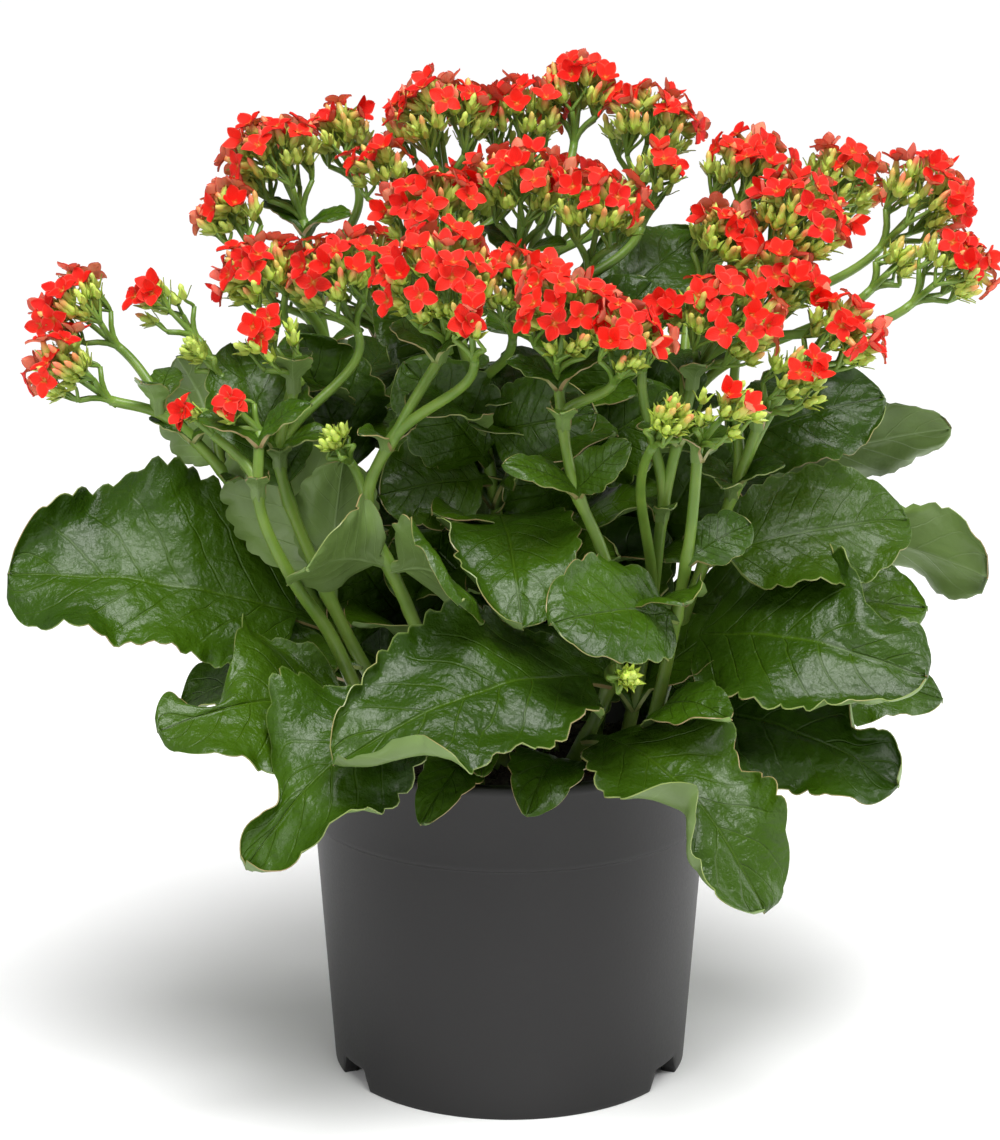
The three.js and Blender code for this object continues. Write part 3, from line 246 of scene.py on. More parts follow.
STEMS = (
    stem("front_left", (-45, -33), ((-56, -41, 156), (-65, -50, 180), (-77, -60, 202), (-87, -66, 228)),
         (head("low_left", (-96, -70, 266), 9, 2, 6),
          head("low_left_side", (-113, -64, 262), 8, 2, 3, 234)),
         (leaf("lower_left", 148, (-122, -86, 154), 62, (-0.15, -0.66, 0.72), wave=0.16, blunt=0.4,
               bites=((1, 0.42, -0.3, 0.12), (1, 0.76, 0.9, 0.16))),)),
    stem("left", (-47, -6), ((-62, -10, 160), (-81, -14, 198), (-102, -18, 229), (-124, -20, 252)),
         (head("far_left_low", (-166, -26, 275), 16, 3, 2),
          head("far_left_high", (-165, -8, 295), 17, 5, 2, 246),
          head("left_side", (-131, -2, 296), 14, 2, 5, 228)),
         (leaf("left_big", 172, (-181, -36, 198), 80, (-0.1, -0.74, 0.66), arch=0.1, blunt=0.35,
               bites=((1, 0.5, -0.18, 0.35), (-1, 0.5, 0.26, 0.4))),
          leaf("left_back_lobe", 232, (-122, 3, 271), 44, (0.3, 0.7, -0.2)))),
    stem("left_inner", (-27, -25), ((-50, -30, 156), (-70, -36, 200), (-82, -42, 240)),
         (head("left_front", (-87, -54, 290), 14, 2, 4),
          head("left_middle", (-67, -36, 314), 19, 6, 4, 240),
          head("left_upper", (-95, -30, 312), 17, 5, 3, 246)),
         (leaf("left_upright", 192, (-94, -28, 252), 50, (0.1, 1, -0.1)),
          leaf("left_high_dark", 224, (-101, -14, 278), 38, (0.2, -0.9, 0.3)),
          leaf("left_upright_inner", 188, (-54, -52, 240), 32, (-0.3, 1, -0.1)))),
    stem("left_back", (-29, 15), ((-40, 14, 160), (-54, 15, 205), (-66, 19, 258)),
         (head("high_left", (-92, 22, 352), 21, 8, 2),
          head("high_left_inner", (-66, 46, 356), 16, 5, 2, 290),
          head("left_outer", (-106, 4, 329), 15, 4, 2, 272)),
         (leaf("low_dark", 168, (-66, -8, 206), 52, (0, -0.9, 0.4)),
          leaf("left_back_dark", 222, (-80, 0, 280), 46, (0.1, -0.9, 0.3)))),
    stem("front_inner", (-13, -43), ((-22, -45, 150), (-36, -51, 188), (-50, -57, 228), (-38, -59, 257)),
         (head("front_large", (-28, -69, 319), 23, 9, 4),
          head("front_small", (-14, -85, 298), 11, 2, 5, 250)),
         (leaf("bottom_left", 142, (-93, -104, 106), 56, (-0.3, -0.72, 0.62), arch=0.26, wave=0.14,
               stalk=0.2, blunt=0.4, bites=((1, 0.55, -0.35, 0.14), (1, 0.85, 0.8, 0.13))),
          leaf("centre_curl", 204, (-12, -92, 202), 50, (0.05, 0.85, 0.5), arch=0.16),
          leaf("left_curl", 206, (-74, -84, 212), 44, (-0.1, 0.85, 0.5), arch=0.12),
          leaf("rim_grey", 126, (-31, -88, 118), 22, (0, -0.75, 0.65), arch=0.25),
          leaf("rim_left", 124, (-10, -78, 128), 20, (0, -0.7, 0.7), arch=0.25))),
    stem("front", (20, -43), ((33, -47, 152), (40, -53, 182), (32, -60, 212), (21, -65, 240)),
         (head("front_right", (20, -75, 305), 20, 7, 3),
          head("front_right_side", (42, -84, 296), 16, 4, 3, 258)),
         (leaf("front_centre", 160, (-59, -116, 152), 68, (-0.05, -0.7, 0.72), arch=0.16, wave=0.14,
               blunt=0.42, bites=((-1, 0.35, 0.12, 0.06), (-1, 0.62, 0.16, 0.07), (1, 0.5, -0.1, 0.1))),
          leaf("bottom_right", 138, (87, -108, 95), 56, (0.2, -0.7, 0.7), arch=0.26, wave=0.14,
               blunt=0.34, bites=((1, 0.64, 0.5, 0.09), (-1, 0.6, 0.25, 0.08))),
          leaf("rim_middle", 124, (6, -92, 126), 30, (-0.1, -0.72, 0.7), arch=0.24),
          leaf("bract_left", 233, (-2, -74, 247), 14, (0, -0.6, 0.8), small=1),
          leaf("bract_right", 233, (41, -74, 253), 17, (-0.3, -0.8, 0.5), small=1))),
    stem("inner_back", (-9, 26), ((-10, 28, 160), (-12, 30, 212), (-18, 32, 268)),
         (head("high_centre_left", (-28, 38, 367), 23, 8, 2),
          head("high_centre", (4, 51, 364), 20, 7, 2, 300),
          head("inner_small", (-50, 20, 345), 15, 4, 2, 278)),
         (leaf("inner_low", 160, (-44, 0, 206), 46, (0.1, -0.9, 0.4)),
          leaf("inner_upper", 232, (24, 16, 264), 42, (0, -0.95, 0.3)),
          leaf("inner_high", 262, (-48, 20, 292), 38, (0, -0.95, 0.3)))),
    stem("centre", (-3, -6), ((-3, -8, 160), (-5, -12, 213), (-13, -16, 262)),
         (head("centre_upper", (-31, -14, 336), 21, 8, 2),
          head("centre_low", (1, -48, 312), 17, 5, 2, 256)),
         (leaf("centre_dark", 212, (4, -84, 190), 52, (0.05, -0.75, 0.65), arch=0.2, wave=0.12, blunt=0.42),
          leaf("centre_low_dark", 140, (30, -32, 168), 36, (0, -0.9, 0.4)),
          leaf("centre_dark_upper", 228, (-46, -30, 222), 40, (-0.2, -0.9, 0.4)),
          leaf("middle_dark", 246, (26, -40, 262), 38, (0.1, -0.95, 0.3)),
          leaf("middle_left_dark", 234, (-36, -26, 276), 40, (0, -0.95, 0.3)))),
    stem("high", (16, 13), ((18, 12, 160), (19, 10, 208), (16, 4, 262)),
         (head("centre_right", (4, -6, 344), 20, 7, 2),
          head("centre_right_side", (34, -22, 337), 19, 6, 2, 285),
          head("high_right_left", (28, 54, 374), 17, 5, 2, 292),
          head("high_right", (56, 44, 362), 21, 8, 2, 294),
          head("high_right_low", (56, 16, 342), 15, 2, 2, 280)),
         (leaf("high_low", 156, (58, 0, 206), 52, (-0.1, -0.9, 0.4)),
          leaf("upper_back", 262, (72, 40, 312), 46, (0, -0.7, 0.7)),
          leaf("upper_inner", 256, (50, 8, 300), 38, (0.2, -0.8, 0.5)),
          leaf("middle_side", 226, (62, -12, 250), 40, (0.1, -0.9, 0.4)),
          leaf("middle_low_dark", 206, (0, -14, 240), 44, (0, -0.95, 0.3)))),
    stem("right_inner", (41, -27), ((46, -32, 152), (51, -40, 189), (55, -48, 230)),
         (head("right_front", (81, -60, 302), 21, 8, 4),
          head("right_small", (54, -59, 298), 11, 2, 4, 222),
          head("bud_cluster", (55, -92, 267), 11, 0, 8, 184),
          head("right_upper", (80, -20, 324), 16, 4, 2, 250)),
         ()),
    stem("right_front", (47, -46), ((52, -52, 150), (57, -60, 180), (62, -71, 218)),
         (head("front_low_right", (76, -88, 270), 15, 1, 7),),
         (leaf("round", 188, (14, -100, 196), 46, (-0.1, -0.8, 0.6), arch=0.1, blunt=0.38),
          leaf("rim_right", 142, (77, -92, 150), 26, (0.1, -0.7, 0.7), arch=0.2),
          leaf("bract_low_right", 210, (84, -62, 222), 20, (0, -0.8, 0.6), small=1))),
    stem("right", (51, -7), ((58, -12, 150), (66, -22, 185), (80, -36, 228)),
         (head("right_low", (104, -54, 276), 15, 2, 4),
          head("right_middle", (101, -30, 309), 17, 5, 4, 228),
          head("right_middle_side", (122, -42, 292), 17, 5, 3, 232)),
         (leaf("right_large", 168, (147, -66, 167), 72, (0.05, -0.74, 0.66), arch=0.14, blunt=0.42,
               bites=((-1, 0.42, -0.18, 0.16), (-1, 0.78, 0.45, 0.1))),
          leaf("right_lower", 136, (139, -60, 126), 60, (0.1, -0.64, 0.76), arch=0.16, wave=0.12,
               blunt=0.38, bites=((-1, 0.82, 0.5, 0.07), (1, 0.42, -0.2, 0.12), (1, 0.7, 0.2, 0.08))),
          leaf("quilted", 200, (143, 0, 200), 52, (0, -0.8, 0.6), blunt=0.42))),
    stem("right_back", (34, 24), ((42, 25, 160), (55, 26, 200), (68, 22, 252)),
         (head("right_high", (93, 18, 346), 21, 8, 2),
          head("right_high_front", (110, -13, 331), 21, 8, 2, 276),
          head("right_high_back", (131, 40, 339), 18, 6, 2, 274),
          head("far_right_high", (160, 18, 335), 20, 7, 2, 262),
          head("far_right_low", (168, -3, 311), 17, 5, 2, 258),
          head("far_right_buds", (146, 8, 309), 11, 0, 6, 246)),
         (leaf("far_right", 198, (180, 6, 188), 44, (0.2, 0.8, 0.5), stalk=0.3, blunt=0.28,
               bites=((1, 0.9, -0.25, 0.14), (-1, 0.9, -0.25, 0.14))),
          leaf("upper_right", 222, (140, 14, 254), 46, (-0.2, -0.8, 0.55), stalk=0.3),
          leaf("upper_right_curl", 200, (168, 32, 240), 44, (0.1, 0.85, 0.4), stalk=0.35),
          leaf("behind_right", 165, (158, 8, 174), 52, (0.15, -0.8, 0.6), stalk=0.25),
          leaf("right_mid", 236, (42, 12, 276), 40, (0, -0.95, 0.3)),
          leaf("low_far_right", 146, (164, 2, 140), 46, (0.1, -0.7, 0.7), stalk=0.3),
          leaf("right_inner_dark", 188, (78, 0, 246), 46, (0, -0.95, 0.3)),
          leaf("right_low_dark", 142, (66, -8, 176), 40, (0, -0.9, 0.5)))),
    stem("rear_left", (-24, 48), ((-34, 58, 160), (-46, 68, 215)),
         (head("rear_left", (-64, 88, 302), 21, 7, 2),
          head("rear_left_side", (-92, 66, 300), 17, 5, 2, 228),
          head("rear_middle", (-22, 92, 326), 20, 6, 2, 236)),
         ()),
    stem("rear_right", (22, 50), ((32, 60, 160), (43, 70, 215)),
         (head("rear_right", (58, 92, 298), 21, 7, 2),
          head("rear_right_side", (94, 68, 302), 17, 5, 2, 228),
          head("rear_inner", (22, 88, 332), 20, 6, 2, 240)),
         ()),
)

# How the margins of some leaves roll up: (edge, from, to, how far in radians).
ROLLS = {
    "left_big": ((1, 0.84, 1.0, 1.3), (-1, 0.55, 0.85, 0.8)),
    "lower_left": ((1, 0.1, 0.3, 0.7), (-1, 0.5, 0.9, 0.5), (1, 0.8, 0.98, 0.9)),
    "bottom_left": ((1, 0.2, 0.42, 0.6), (1, 0.86, 1.0, 1.2), (-1, 0.6, 0.9, 0.4)),
    "front_centre": ((1, 0.8, 1.0, 1.2), (-1, 0.84, 1.0, 3.2), (-1, 0.25, 0.55, 0.9)),
    "bottom_right": ((1, 0.62, 0.86, 2.0), (-1, 0.6, 0.85, 0.9), (1, 0.15, 0.35, 0.6)),
    "right_large": ((-1, 0.3, 0.62, 0.8), (1, 0.35, 0.8, 0.8), (1, 0.86, 1.0, 1.2)),
    "right_lower": ((-1, 0.76, 1.0, 1.8), (1, 0.35, 0.6, 0.7)),
    "far_right": ((1, 0.25, 0.75, 2.6), (-1, 0.5, 0.8, 0.8)),
    "upper_right": ((-1, 0.3, 0.9, 1.8),),
    "upper_right_curl": ((1, 0.4, 1.0, 2.2),),
    "round": ((1, 0.4, 0.8, 0.6),),
    "centre_dark": ((1, 0.5, 0.95, 0.9), (-1, 0.3, 0.6, 0.7)),
    "centre_curl": ((1, 0.6, 1.0, -1.3), (-1, 0.3, 0.7, -0.8)),
}
# Stems that are bare between their large leaves and their forks.
BARE_STEMS = ("front_left", "left", "front_inner", "front", "right_front", "left_inner", "right")
# Young shoots that end in a few green buds.
SHOOTS = {
    "front": head("shoot", (40, -104, 178), 7, 0, 3, 158),
    "left": head("shoot", (-113, -30, 279), 8, 0, 3, 222),
    "front_inner": head("shoot", (-63, -55, 252), 8, 0, 3, 214),
}
# Leaves low down in the middle of the plant, which close it behind the front leaves.
INNER_LEAVES = {
    "centre": (leaf("inner", 138, (42, 18, 166), 50, (0, -1, 0.4)),),
    "right_back": (leaf("inner", 140, (84, 6, 158), 48, (0, -1, 0.4)),),
    "left_back": (leaf("inner", 142, (-84, 4, 176), 50, (0, -1, 0.4)),),
}


class KalanchoeSizes(bpy.types.PropertyGroup):
    """Sizes of the small features that the pieces are built with."""
    petal_length: FloatProperty(
        name="Petal length", description="Length of one petal from the throat to its tip",
        default=0.0062, unit="LENGTH")
    petal_width: FloatProperty(
        name="Petal width", description="Greatest width of one petal",
        default=0.0052, unit="LENGTH")
    bud_length: FloatProperty(
        name="Bud length", description="Length of a closed bud with its calyx",
        default=0.0088, unit="LENGTH")
    leaf_thickness: FloatProperty(
        name="Leaf thickness", description="Thickness of a leaf's blade away from its veins",
        default=0.0012, unit="LENGTH")
    quilting: FloatProperty(
        name="Quilting", description="How far a leaf swells between its side veins",
        default=0.0005, unit="LENGTH")
    scallop: FloatProperty(
        name="Scallop", description="Depth of the scallops in a leaf's edge, as a share of its half width",
        default=0.12, subtype="FACTOR", min=0.0, max=0.3)
    seed: IntProperty(
        name="Seed", description="Start of every random draw", default=7)


class KalanchoeColours(bpy.types.PropertyGroup):
    """Base colours of the finishes."""
    petal: FloatVectorProperty(
        name="Petal", description="Open petals, seen from above", subtype="COLOR",
        default=(0.80, 0.010, 0.005), min=0.0, max=1.0)
    petal_back: FloatVectorProperty(
        name="Petal back", description="Undersides of the petals and tips of ripe buds", subtype="COLOR",
        default=(0.86, 0.15, 0.10), min=0.0, max=1.0)
    leaf: FloatVectorProperty(
        name="Leaf", description="Upper sides of the leaves", subtype="COLOR",
        default=(0.021, 0.060, 0.0015), min=0.0, max=1.0)
    leaf_back: FloatVectorProperty(
        name="Leaf back", description="Undersides of the leaves", subtype="COLOR",
        default=(0.135, 0.215, 0.052), min=0.0, max=1.0)
    stem: FloatVectorProperty(
        name="Stem", description="Stems and flower stalks", subtype="COLOR",
        default=(0.13, 0.235, 0.028), min=0.0, max=1.0)
    calyx: FloatVectorProperty(
        name="Calyx", description="Sepals and the tubes of the buds", subtype="COLOR",
        default=(0.50, 0.62, 0.11), min=0.0, max=1.0)
    pot: FloatVectorProperty(
        name="Pot", description="The moulded plastic of the pot", subtype="COLOR",
        default=(0.0120, 0.0113, 0.0115), min=0.0, max=1.0)
    compost: FloatVectorProperty(
        name="Compost", description="Moist potting compost", subtype="COLOR",
        default=(0.020, 0.011, 0.006), min=0.0, max=1.0)


# ---- Small helpers -----------------------------------------------------------------------------
def vec(x, y, z):
    return Vector((x, y, z))


def lerp(a, b, share):
    return a + (b - a) * share


def smooth(low, high, value):
    """0 below low, 1 above high, and an even curve between them."""
    share = min(1.0, max(0.0, (value - low) / (high - low)))
    return share * share * (3 - 2 * share)


def on_circle(radius, angle, height):
    return vec(radius * math.cos(angle), radius * math.sin(angle), height)


def jitter(rng, size):
    return Vector([rng.uniform(-size, size) for _ in range(3)])


def seeded(seed):
    """A source of even draws from 0 to 1, from 32-bit whole numbers."""
    whole = 0xFFFFFFFF
    state = seed & whole

    def draw():
        nonlocal state
        state = (state + 0x6D2B79F5) & whole
        mixed = ((state ^ (state >> 15)) * (1 | state)) & whole
        mixed = ((mixed + (((mixed ^ (mixed >> 7)) * (61 | mixed)) & whole)) ^ mixed) & whole
        return (mixed ^ (mixed >> 14)) / (whole + 1)
    return draw


class Skin:
    """Gathers rows of points into one mesh. Each point carries three shares for the materials."""

    def __init__(self):
        self.points = []
        self.faces = []
        self.kinds = []
        self.places = []

    def add(self, points, places):
        first = len(self.points)
        self.points.extend(points)
        self.places.extend(places)
        return first

    def face(self, corners, kind):
        self.faces.append(corners)
        self.kinds.append(kind)

    def grid(self, rows, places, kind=0, closed=False, flip=False):
        """Quads between rows of equal length. places has one row of shares for each row."""
        width = len(rows[0])
        first = self.add([p for row in rows for p in row], [q for row in places for q in row])
        for i in range(len(rows) - 1):
            for j in range(width if closed else width - 1):
                a = first + i * width + j
                b = first + i * width + (j + 1) % width
                corners = (a, b, b + width, a + width)
                self.face(corners[::-1] if flip else corners, kind)
        return first

    def tube(self, centres, radii, sides, places, kind=0):
        """A closed tube through the centres, with one radius and one set of shares for each."""
        side = None
        rows = []
        for i, centre in enumerate(centres):
            before = centres[max(0, i - 1)]
            after = centres[min(len(centres) - 1, i + 1)]
            tangent = (after - before).normalized()
            if side is None:
                side = tangent.orthogonal().normalized()
            side = (side - tangent * side.dot(tangent)).normalized()
            front = tangent.cross(side)
            rows.append([
                centre + (side * math.cos(t) + front * math.sin(t)) * radii[i]
                for t in (2 * math.pi * j / sides for j in range(sides))
            ])
        first = self.grid(rows, [[place] * sides for place in places], kind, closed=True)
        ends = self.add([centres[0], centres[-1]], [places[0], places[-1]])
        last = first + (len(centres) - 1) * sides
        for j in range(sides):
            k = (j + 1) % sides
            self.face((ends, first + k, first + j), kind)
            self.face((ends + 1, last + j, last + k), kind)

    def piece(self, name, materials, replaced, slot, smooth_faces=True):
        """Makes the object, in metres, and ties it to the frame."""
        mesh = bpy.data.meshes.new(name)
        mesh.from_pydata([p * METRES for p in self.points], [], self.faces)
        mesh.polygons.foreach_set("material_index", self.kinds)
        mesh.polygons.foreach_set("use_smooth", [smooth_faces] * len(self.faces))
        marks = mesh.attributes.new("place", "FLOAT_VECTOR", "POINT")
        marks.data.foreach_set("vector", [value for place in self.places for value in place])
        mesh.validate()
        mesh.update()
        for material in materials:
            mesh.materials.append(material)
        piece = bpy.data.objects.new(name, mesh)
        bpy.context.scene.collection.objects.link(piece)
        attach(piece, "root")
        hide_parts(*replaced)
        return piece


# ---- Curves of the stems -----------------------------------------------------------------------
def catmull_rom(points, share):
    """The point at a share of the way along a curve through all the points."""
    spans = len(points) - 1
    place = min(spans * share, spans - 1e-9)
    span = int(place)
    part = place - span
    p1, p2 = points[span], points[span + 1]
    p0 = points[span - 1] if span > 0 else p1 * 2 - p2
    p3 = points[span + 2] if span + 2 <= spans else p2 * 2 - p1
    t1, t2 = (p2 - p0) * 0.5, (p3 - p1) * 0.5
    return (
        p1 + t1 * part + (p2 * 3 - p1 * 3 - t1 * 2 - t2) * part ** 2
        + (p1 * 2 - p2 * 2 + t1 + t2) * part ** 3
    )


def bezier(a, b, c, d, share):
    rest = 1 - share
    return a * rest ** 3 + b * 3 * rest ** 2 * share + c * 3 * rest * share ** 2 + d * share ** 3


def head_axis(item):
    x, y, z = item["at"]
    return vec(x, y, (z - HEAD_CENTRE_HEIGHT) * HEAD_UPRIGHTNESS).normalized()


def head_dome(item):
    """The axis that a head faces along, and the radius and middle of the ball its florets sit on."""
    axis = head_axis(item)
    radius = item["size"] - DOME_MARGIN
    return axis, radius, Vector(item["at"]) + axis * (DOME_RISE - radius)


def head_focus(item):
    """Where the stem under a head ends and its flower stalks begin."""
    axis, _, middle = head_dome(item)
    return middle - axis * (STALK_REACH + item["size"] * STALK_GROWTH)


def trunk_points(item):
    """The points that a stem's main curve passes, from its foot in the compost to its first head."""
    x, y = item["foot"]
    start = [vec(x, y, SOIL_HEIGHT + height) for height in STRAIGHT_START]
    return start + [Vector(p) for p in item["way"]] + [head_focus(item["heads"][0])]


def trunk_at(points, height):
    """Where a trunk reaches a height, and its direction there."""
    low, high = 0.0, 1.0
    for _ in range(HALVINGS):
        middle = (low + high) / 2
        if catmull_rom(points, middle).z < height:
            low = middle
        else:
            high = middle
    ahead = catmull_rom(points, min(1.0, low + 1e-4))
    behind = catmull_rom(points, max(0.0, low - 1e-4))
    return catmull_rom(points, low), (ahead - behind).normalized()


def branch_curve(points, item):
    """The four handles of the side branch that carries a head."""
    fork, tangent = trunk_at(points, item["fork"])
    focus = head_focus(item)
    length = (focus - fork).length
    leaving = fork + tangent * length * BRANCH_BEND
    arriving = focus - head_axis(item) * length * BRANCH_BEND
    return fork, leaving, arriving, focus


# ---- Where the leaves lie ----------------------------------------------------------------------
def leaf_outline(item, share):
    """Half width of a leaf, as a share of the greatest, from stem (0) to tip (1)."""
    stalk = item.get("stalk", STALK_SHARE)
    root = STALK_WIDTH / item["wide"]
    if share <= stalk:
        return root
    u = min(1.0, (share - stalk) / (1 - stalk))
    full = max(0.0, math.sin(math.pi * u ** BLADE_SKEW)) ** item.get("blunt", TIP_BLUNTNESS)
    return max(root * (1 - u), full)


def edge_share(item, share, edge):
    """What a leaf's bites and lobes leave of its half width on one edge."""
    return 1 - sum(
        depth * math.exp(-((share - place) / length) ** 2)
        for way, place, depth, length in item.get("bites", ()) if way == edge)


def leaf_frame(item, root, swing=0, lift=0):
    """A leaf's root, chord, direction across it and normal, turned about its root."""
    chord = Vector(item["tip"]) - root
    face = Vector(item["face"]).normalized()
    turn = Quaternion((0, 0, 1), math.radians(swing))
    chord.rotate(turn)
    face.rotate(turn)
    level = vec(-chord.y, chord.x, 0).normalized()
    tilt = Quaternion(level, -math.radians(lift))
    chord.rotate(tilt)
    face.rotate(tilt)
    across = chord.cross(face).normalized()
    return root, chord, across, across.cross(chord).normalized()


def leaf_point(item, place, share, side):
    """A point of the smooth middle surface of a leaf."""
    root, chord, across, normal = place
    edge = (side > 0) - (side < 0)
    width = item["wide"] / 2 * leaf_outline(item, share) * edge_share(item, share, edge)
    rise = 4 * item.get("arch", LEAF_ARCH) * chord.length * share * (1 - share)
    ripple = math.sin(share * WAVE_TURNS + (0 if side > 0 else WAVE_OFFSET)) * item.get("wave", LEAF_WAVE)
    up = rise + width * (LEAF_CUP + ripple) * side * side
    return root + chord * share + across * side * width + normal * up


def row_share(i, rows, stalk):
    """The share of each row of a coarse leaf's corners, crowded towards the tip."""
    if i == 0:
        return 0
    return stalk + (1 - stalk) * (1 - (1 - (i - 1) / (rows - 1)) ** ROW_CROWDING)


def settled_leaf(item, root, corners):
    """The first of a leaf's turns where the frame's solid has that leaf's corners, or nothing."""
    rows = 5 if item.get("small") or item.get("filler") else 8 if item["wide"] >= BROAD_LEAF else 7
    stalk = item.get("stalk", STALK_SHARE)
    for swing, lift in FILLER_TURNS if item.get("filler") else LEAF_TURNS:
        place = leaf_frame(item, root, swing, lift)
        above = place[3] * LEAF_THICKNESS / 2
        points = [leaf_point(item, place, row_share(i, rows, stalk), 0) + above for i in (2, 3, 4)]
        if all(corners.find(point)[2] < CORNER_REACH for point in points):
            return place
    return None


def filler_leaves(item, points, seed):
    """Leaves that the plant carries up each trunk behind its front: each turned across the last."""
    draw = seeded(seed)
    x, y = item["foot"]
    outward = math.atan2(y, x)
    face = (math.cos(outward) * 0.6, math.sin(outward) * 0.6, 0.8)
    leaves = []
    count = 0 if y < FRONT_EDGE else max(1, FILLERS - len(item["leaves"]))
    for i in range(count):
        start = FILLER_START + i * FILLER_STEP + draw() * 14
        azimuth = outward + (1 if i % 2 else -1) * (0.2 + draw() * 0.9)
        length = FILLER_LENGTH - i * 8 + draw() * 10
        climb = -0.25 + 0.25 * i + (draw() - 0.5) * 0.2
        way = vec(math.cos(azimuth), math.sin(azimuth), climb).normalized()
        tip = trunk_at(points, start)[0] + way * length
        leaves.append(leaf(f"around_{i}", start, tip, FILLER_WIDTH - i * 4, face, filler=1))
    return leaves


def pair_leaves(item, points, rng):
    """Small leaves in pairs, each pair across the last: at the forks, under the first head, and up
    the leafier stems.
    """
    forks = [h["fork"] for h in item["heads"] if h["fork"]]
    heights = [(fork - 2, rng.uniform(15, 20)) for fork in forks]
    heights.append((points[-1].z - 5, rng.uniform(19, 26)))
    if item["name"] not in BARE_STEMS:
        top = min(forks, default=PAIR_TOP)
        height = PAIR_START
        while height < top - PAIR_STEP / 2:
            length = lerp(LOWEST_PAIR, HIGHEST_PAIR, smooth(200, 290, height))
            heights.append((height, length * rng.uniform(0.85, 1.1)))
            height += PAIR_STEP
    leaves = []
    turn = rng.uniform(0, math.pi)
    for height, length in sorted(heights):
        turn += math.pi / 2
        for way in (turn, turn + math.pi):
            out = vec(math.cos(way), math.sin(way), rng.uniform(0.35, 0.75)).normalized()
            tip = trunk_at(points, height)[0] + out * length
            face = (-0.35 * math.cos(way), -0.35 * math.sin(way) - 0.5, 0.85)
            wide = length * PAIR_BREADTH
            leaves.append(leaf("pair", height, tip, wide, face, small=1, stalk=0.2, arch=0.16))
    return leaves


# ---- Form of a leaf's blade --------------------------------------------------------------------
def leaf_rolls(item, rng):
    """Where a leaf's margins curl over: its own list, and a few slight curls on every leaf."""
    rolls = list(ROLLS.get(item["name"], ()))
    for _ in range(SLIGHT_ROLLS):
        start = rng.uniform(0.15, 0.8)
        rolls.append((rng.choice((-1, 1)), start, start + rng.uniform(0.12, 0.25), rng.uniform(-0.8, 0.7)))
    return rolls


class LeafForm:
    """The middle surface of one leaf, with its scallops, quilting, folds and curled margins.

    A point on it is given by its share of the way along the leaf and its side, from -1 to 1.
    """

    def __init__(self, item, place, rng, sizes):
        self.item = item
        self.place = place
        self.length = place[1].length
        self.stalk = item.get("stalk", STALK_SHARE)
        self.rolls = leaf_rolls(item, rng)
        self.lobes = max(4, round(self.length / LOBE_LENGTH))
        self.waves = max(1.5, self.length / FOLD_LENGTH)
        self.shift = rng.uniform(0, 100)
        self.tone = rng.random()
        self.scallop = sizes.scallop * (1.4 if item.get("small") else 1.0)
        self.quilting = sizes.quilting * PER_METRE

    def blade(self, share):
        """How far along the blade a share is: 0 on the stalk and 1 at the tip."""
        return max(0.0, (share - self.stalk) / (1 - self.stalk))

    def notch(self, blade, side):
        """What the scallops leave of the width."""
        phase = 0.4 if side > 0 else 1.1
        lobe = abs(math.sin(math.pi * self.lobes * blade ** 0.9 + phase)) ** 0.6
        return 1 - self.scallop * (1 - lobe) * smooth(0.55, 1.0, abs(side)) * smooth(0.02, 0.12, blade)

    def curl(self, share, edge):
        """The angle that the margin on one edge has rolled over by."""
        return sum(
            amount * smooth(low - 0.12, low + 0.06, share) * (1 - smooth(high - 0.06, high + 0.12, share))
            for way, low, high, amount in self.rolls if way == edge)

    def relief(self, share, side, half):
        """How far the quilting, folds and dents lift a point, where the blade has this half width."""
        out = abs(side)
        edge = 1 if side > 0 else -1
        blade = self.blade(share)
        phase = 2 * math.pi * self.waves * blade
        lively = smooth(0.0, 0.15, blade) * min(1.0, self.item["wide"] / 40)
        swell = abs(math.sin(math.pi * VEIN_PAIRS * (share - VEIN_SLANT * out))) ** 0.7 - 0.55
        quilt = self.quilting * swell * smooth(0.02, 0.2, out) * (1 - 0.7 * out ** 3)
        groove = -GROOVE_DEPTH * math.exp(-(side / RIB_WIDTH) ** 2)
        fold = math.sin(phase + edge * 1.9 + self.shift) * FOLD_DEPTH * half * smooth(0.45, 1.0, out)
        frill = math.sin(phase * 3 + self.shift) * FRILL_DEPTH * half * smooth(0.75, 1.0, out)
        spot = (share * self.length * DENT_SCALE, side * half * DENT_SCALE, self.shift + 5)
        dent = noise.noise(spot) * DENT_DEPTH
        return (quilt + groove + fold + frill + dent) * lively

    def drift(self, share, side):
        """How far the whole blade wanders from its even arch."""
        return noise.noise((share * 2.2, side * 1.3, self.shift)) * DRIFT * self.length

    def point(self, share, side):
        """The point with its relief, rolled inwards and up where the margin curls."""
        _, _, across, normal = self.place
        out = abs(side)
        edge = 1 if side > 0 else -1
        blade = self.blade(share)
        half = self.item["wide"] / 2 * leaf_outline(self.item, min(share, 0.9995))
        point = leaf_point(self.item, self.place, share, side * self.notch(blade, side))
        curl = self.curl(share, edge)
        if out > ROLL_START and abs(curl) > 0.02 and blade > 0:
            reach = (out - ROLL_START) * half
            angle = curl * (out - ROLL_START) / ROLL_WIDTH
            bend = reach / angle
            inwards = across * edge * (bend * math.sin(angle) - reach)
            point += inwards + normal * bend * (1 - math.cos(angle))
        point += normal * self.relief(share, side, half)
        point += normal * self.drift(share, side) * smooth(0.0, 0.3, blade) * (0.4 + out)
        return point


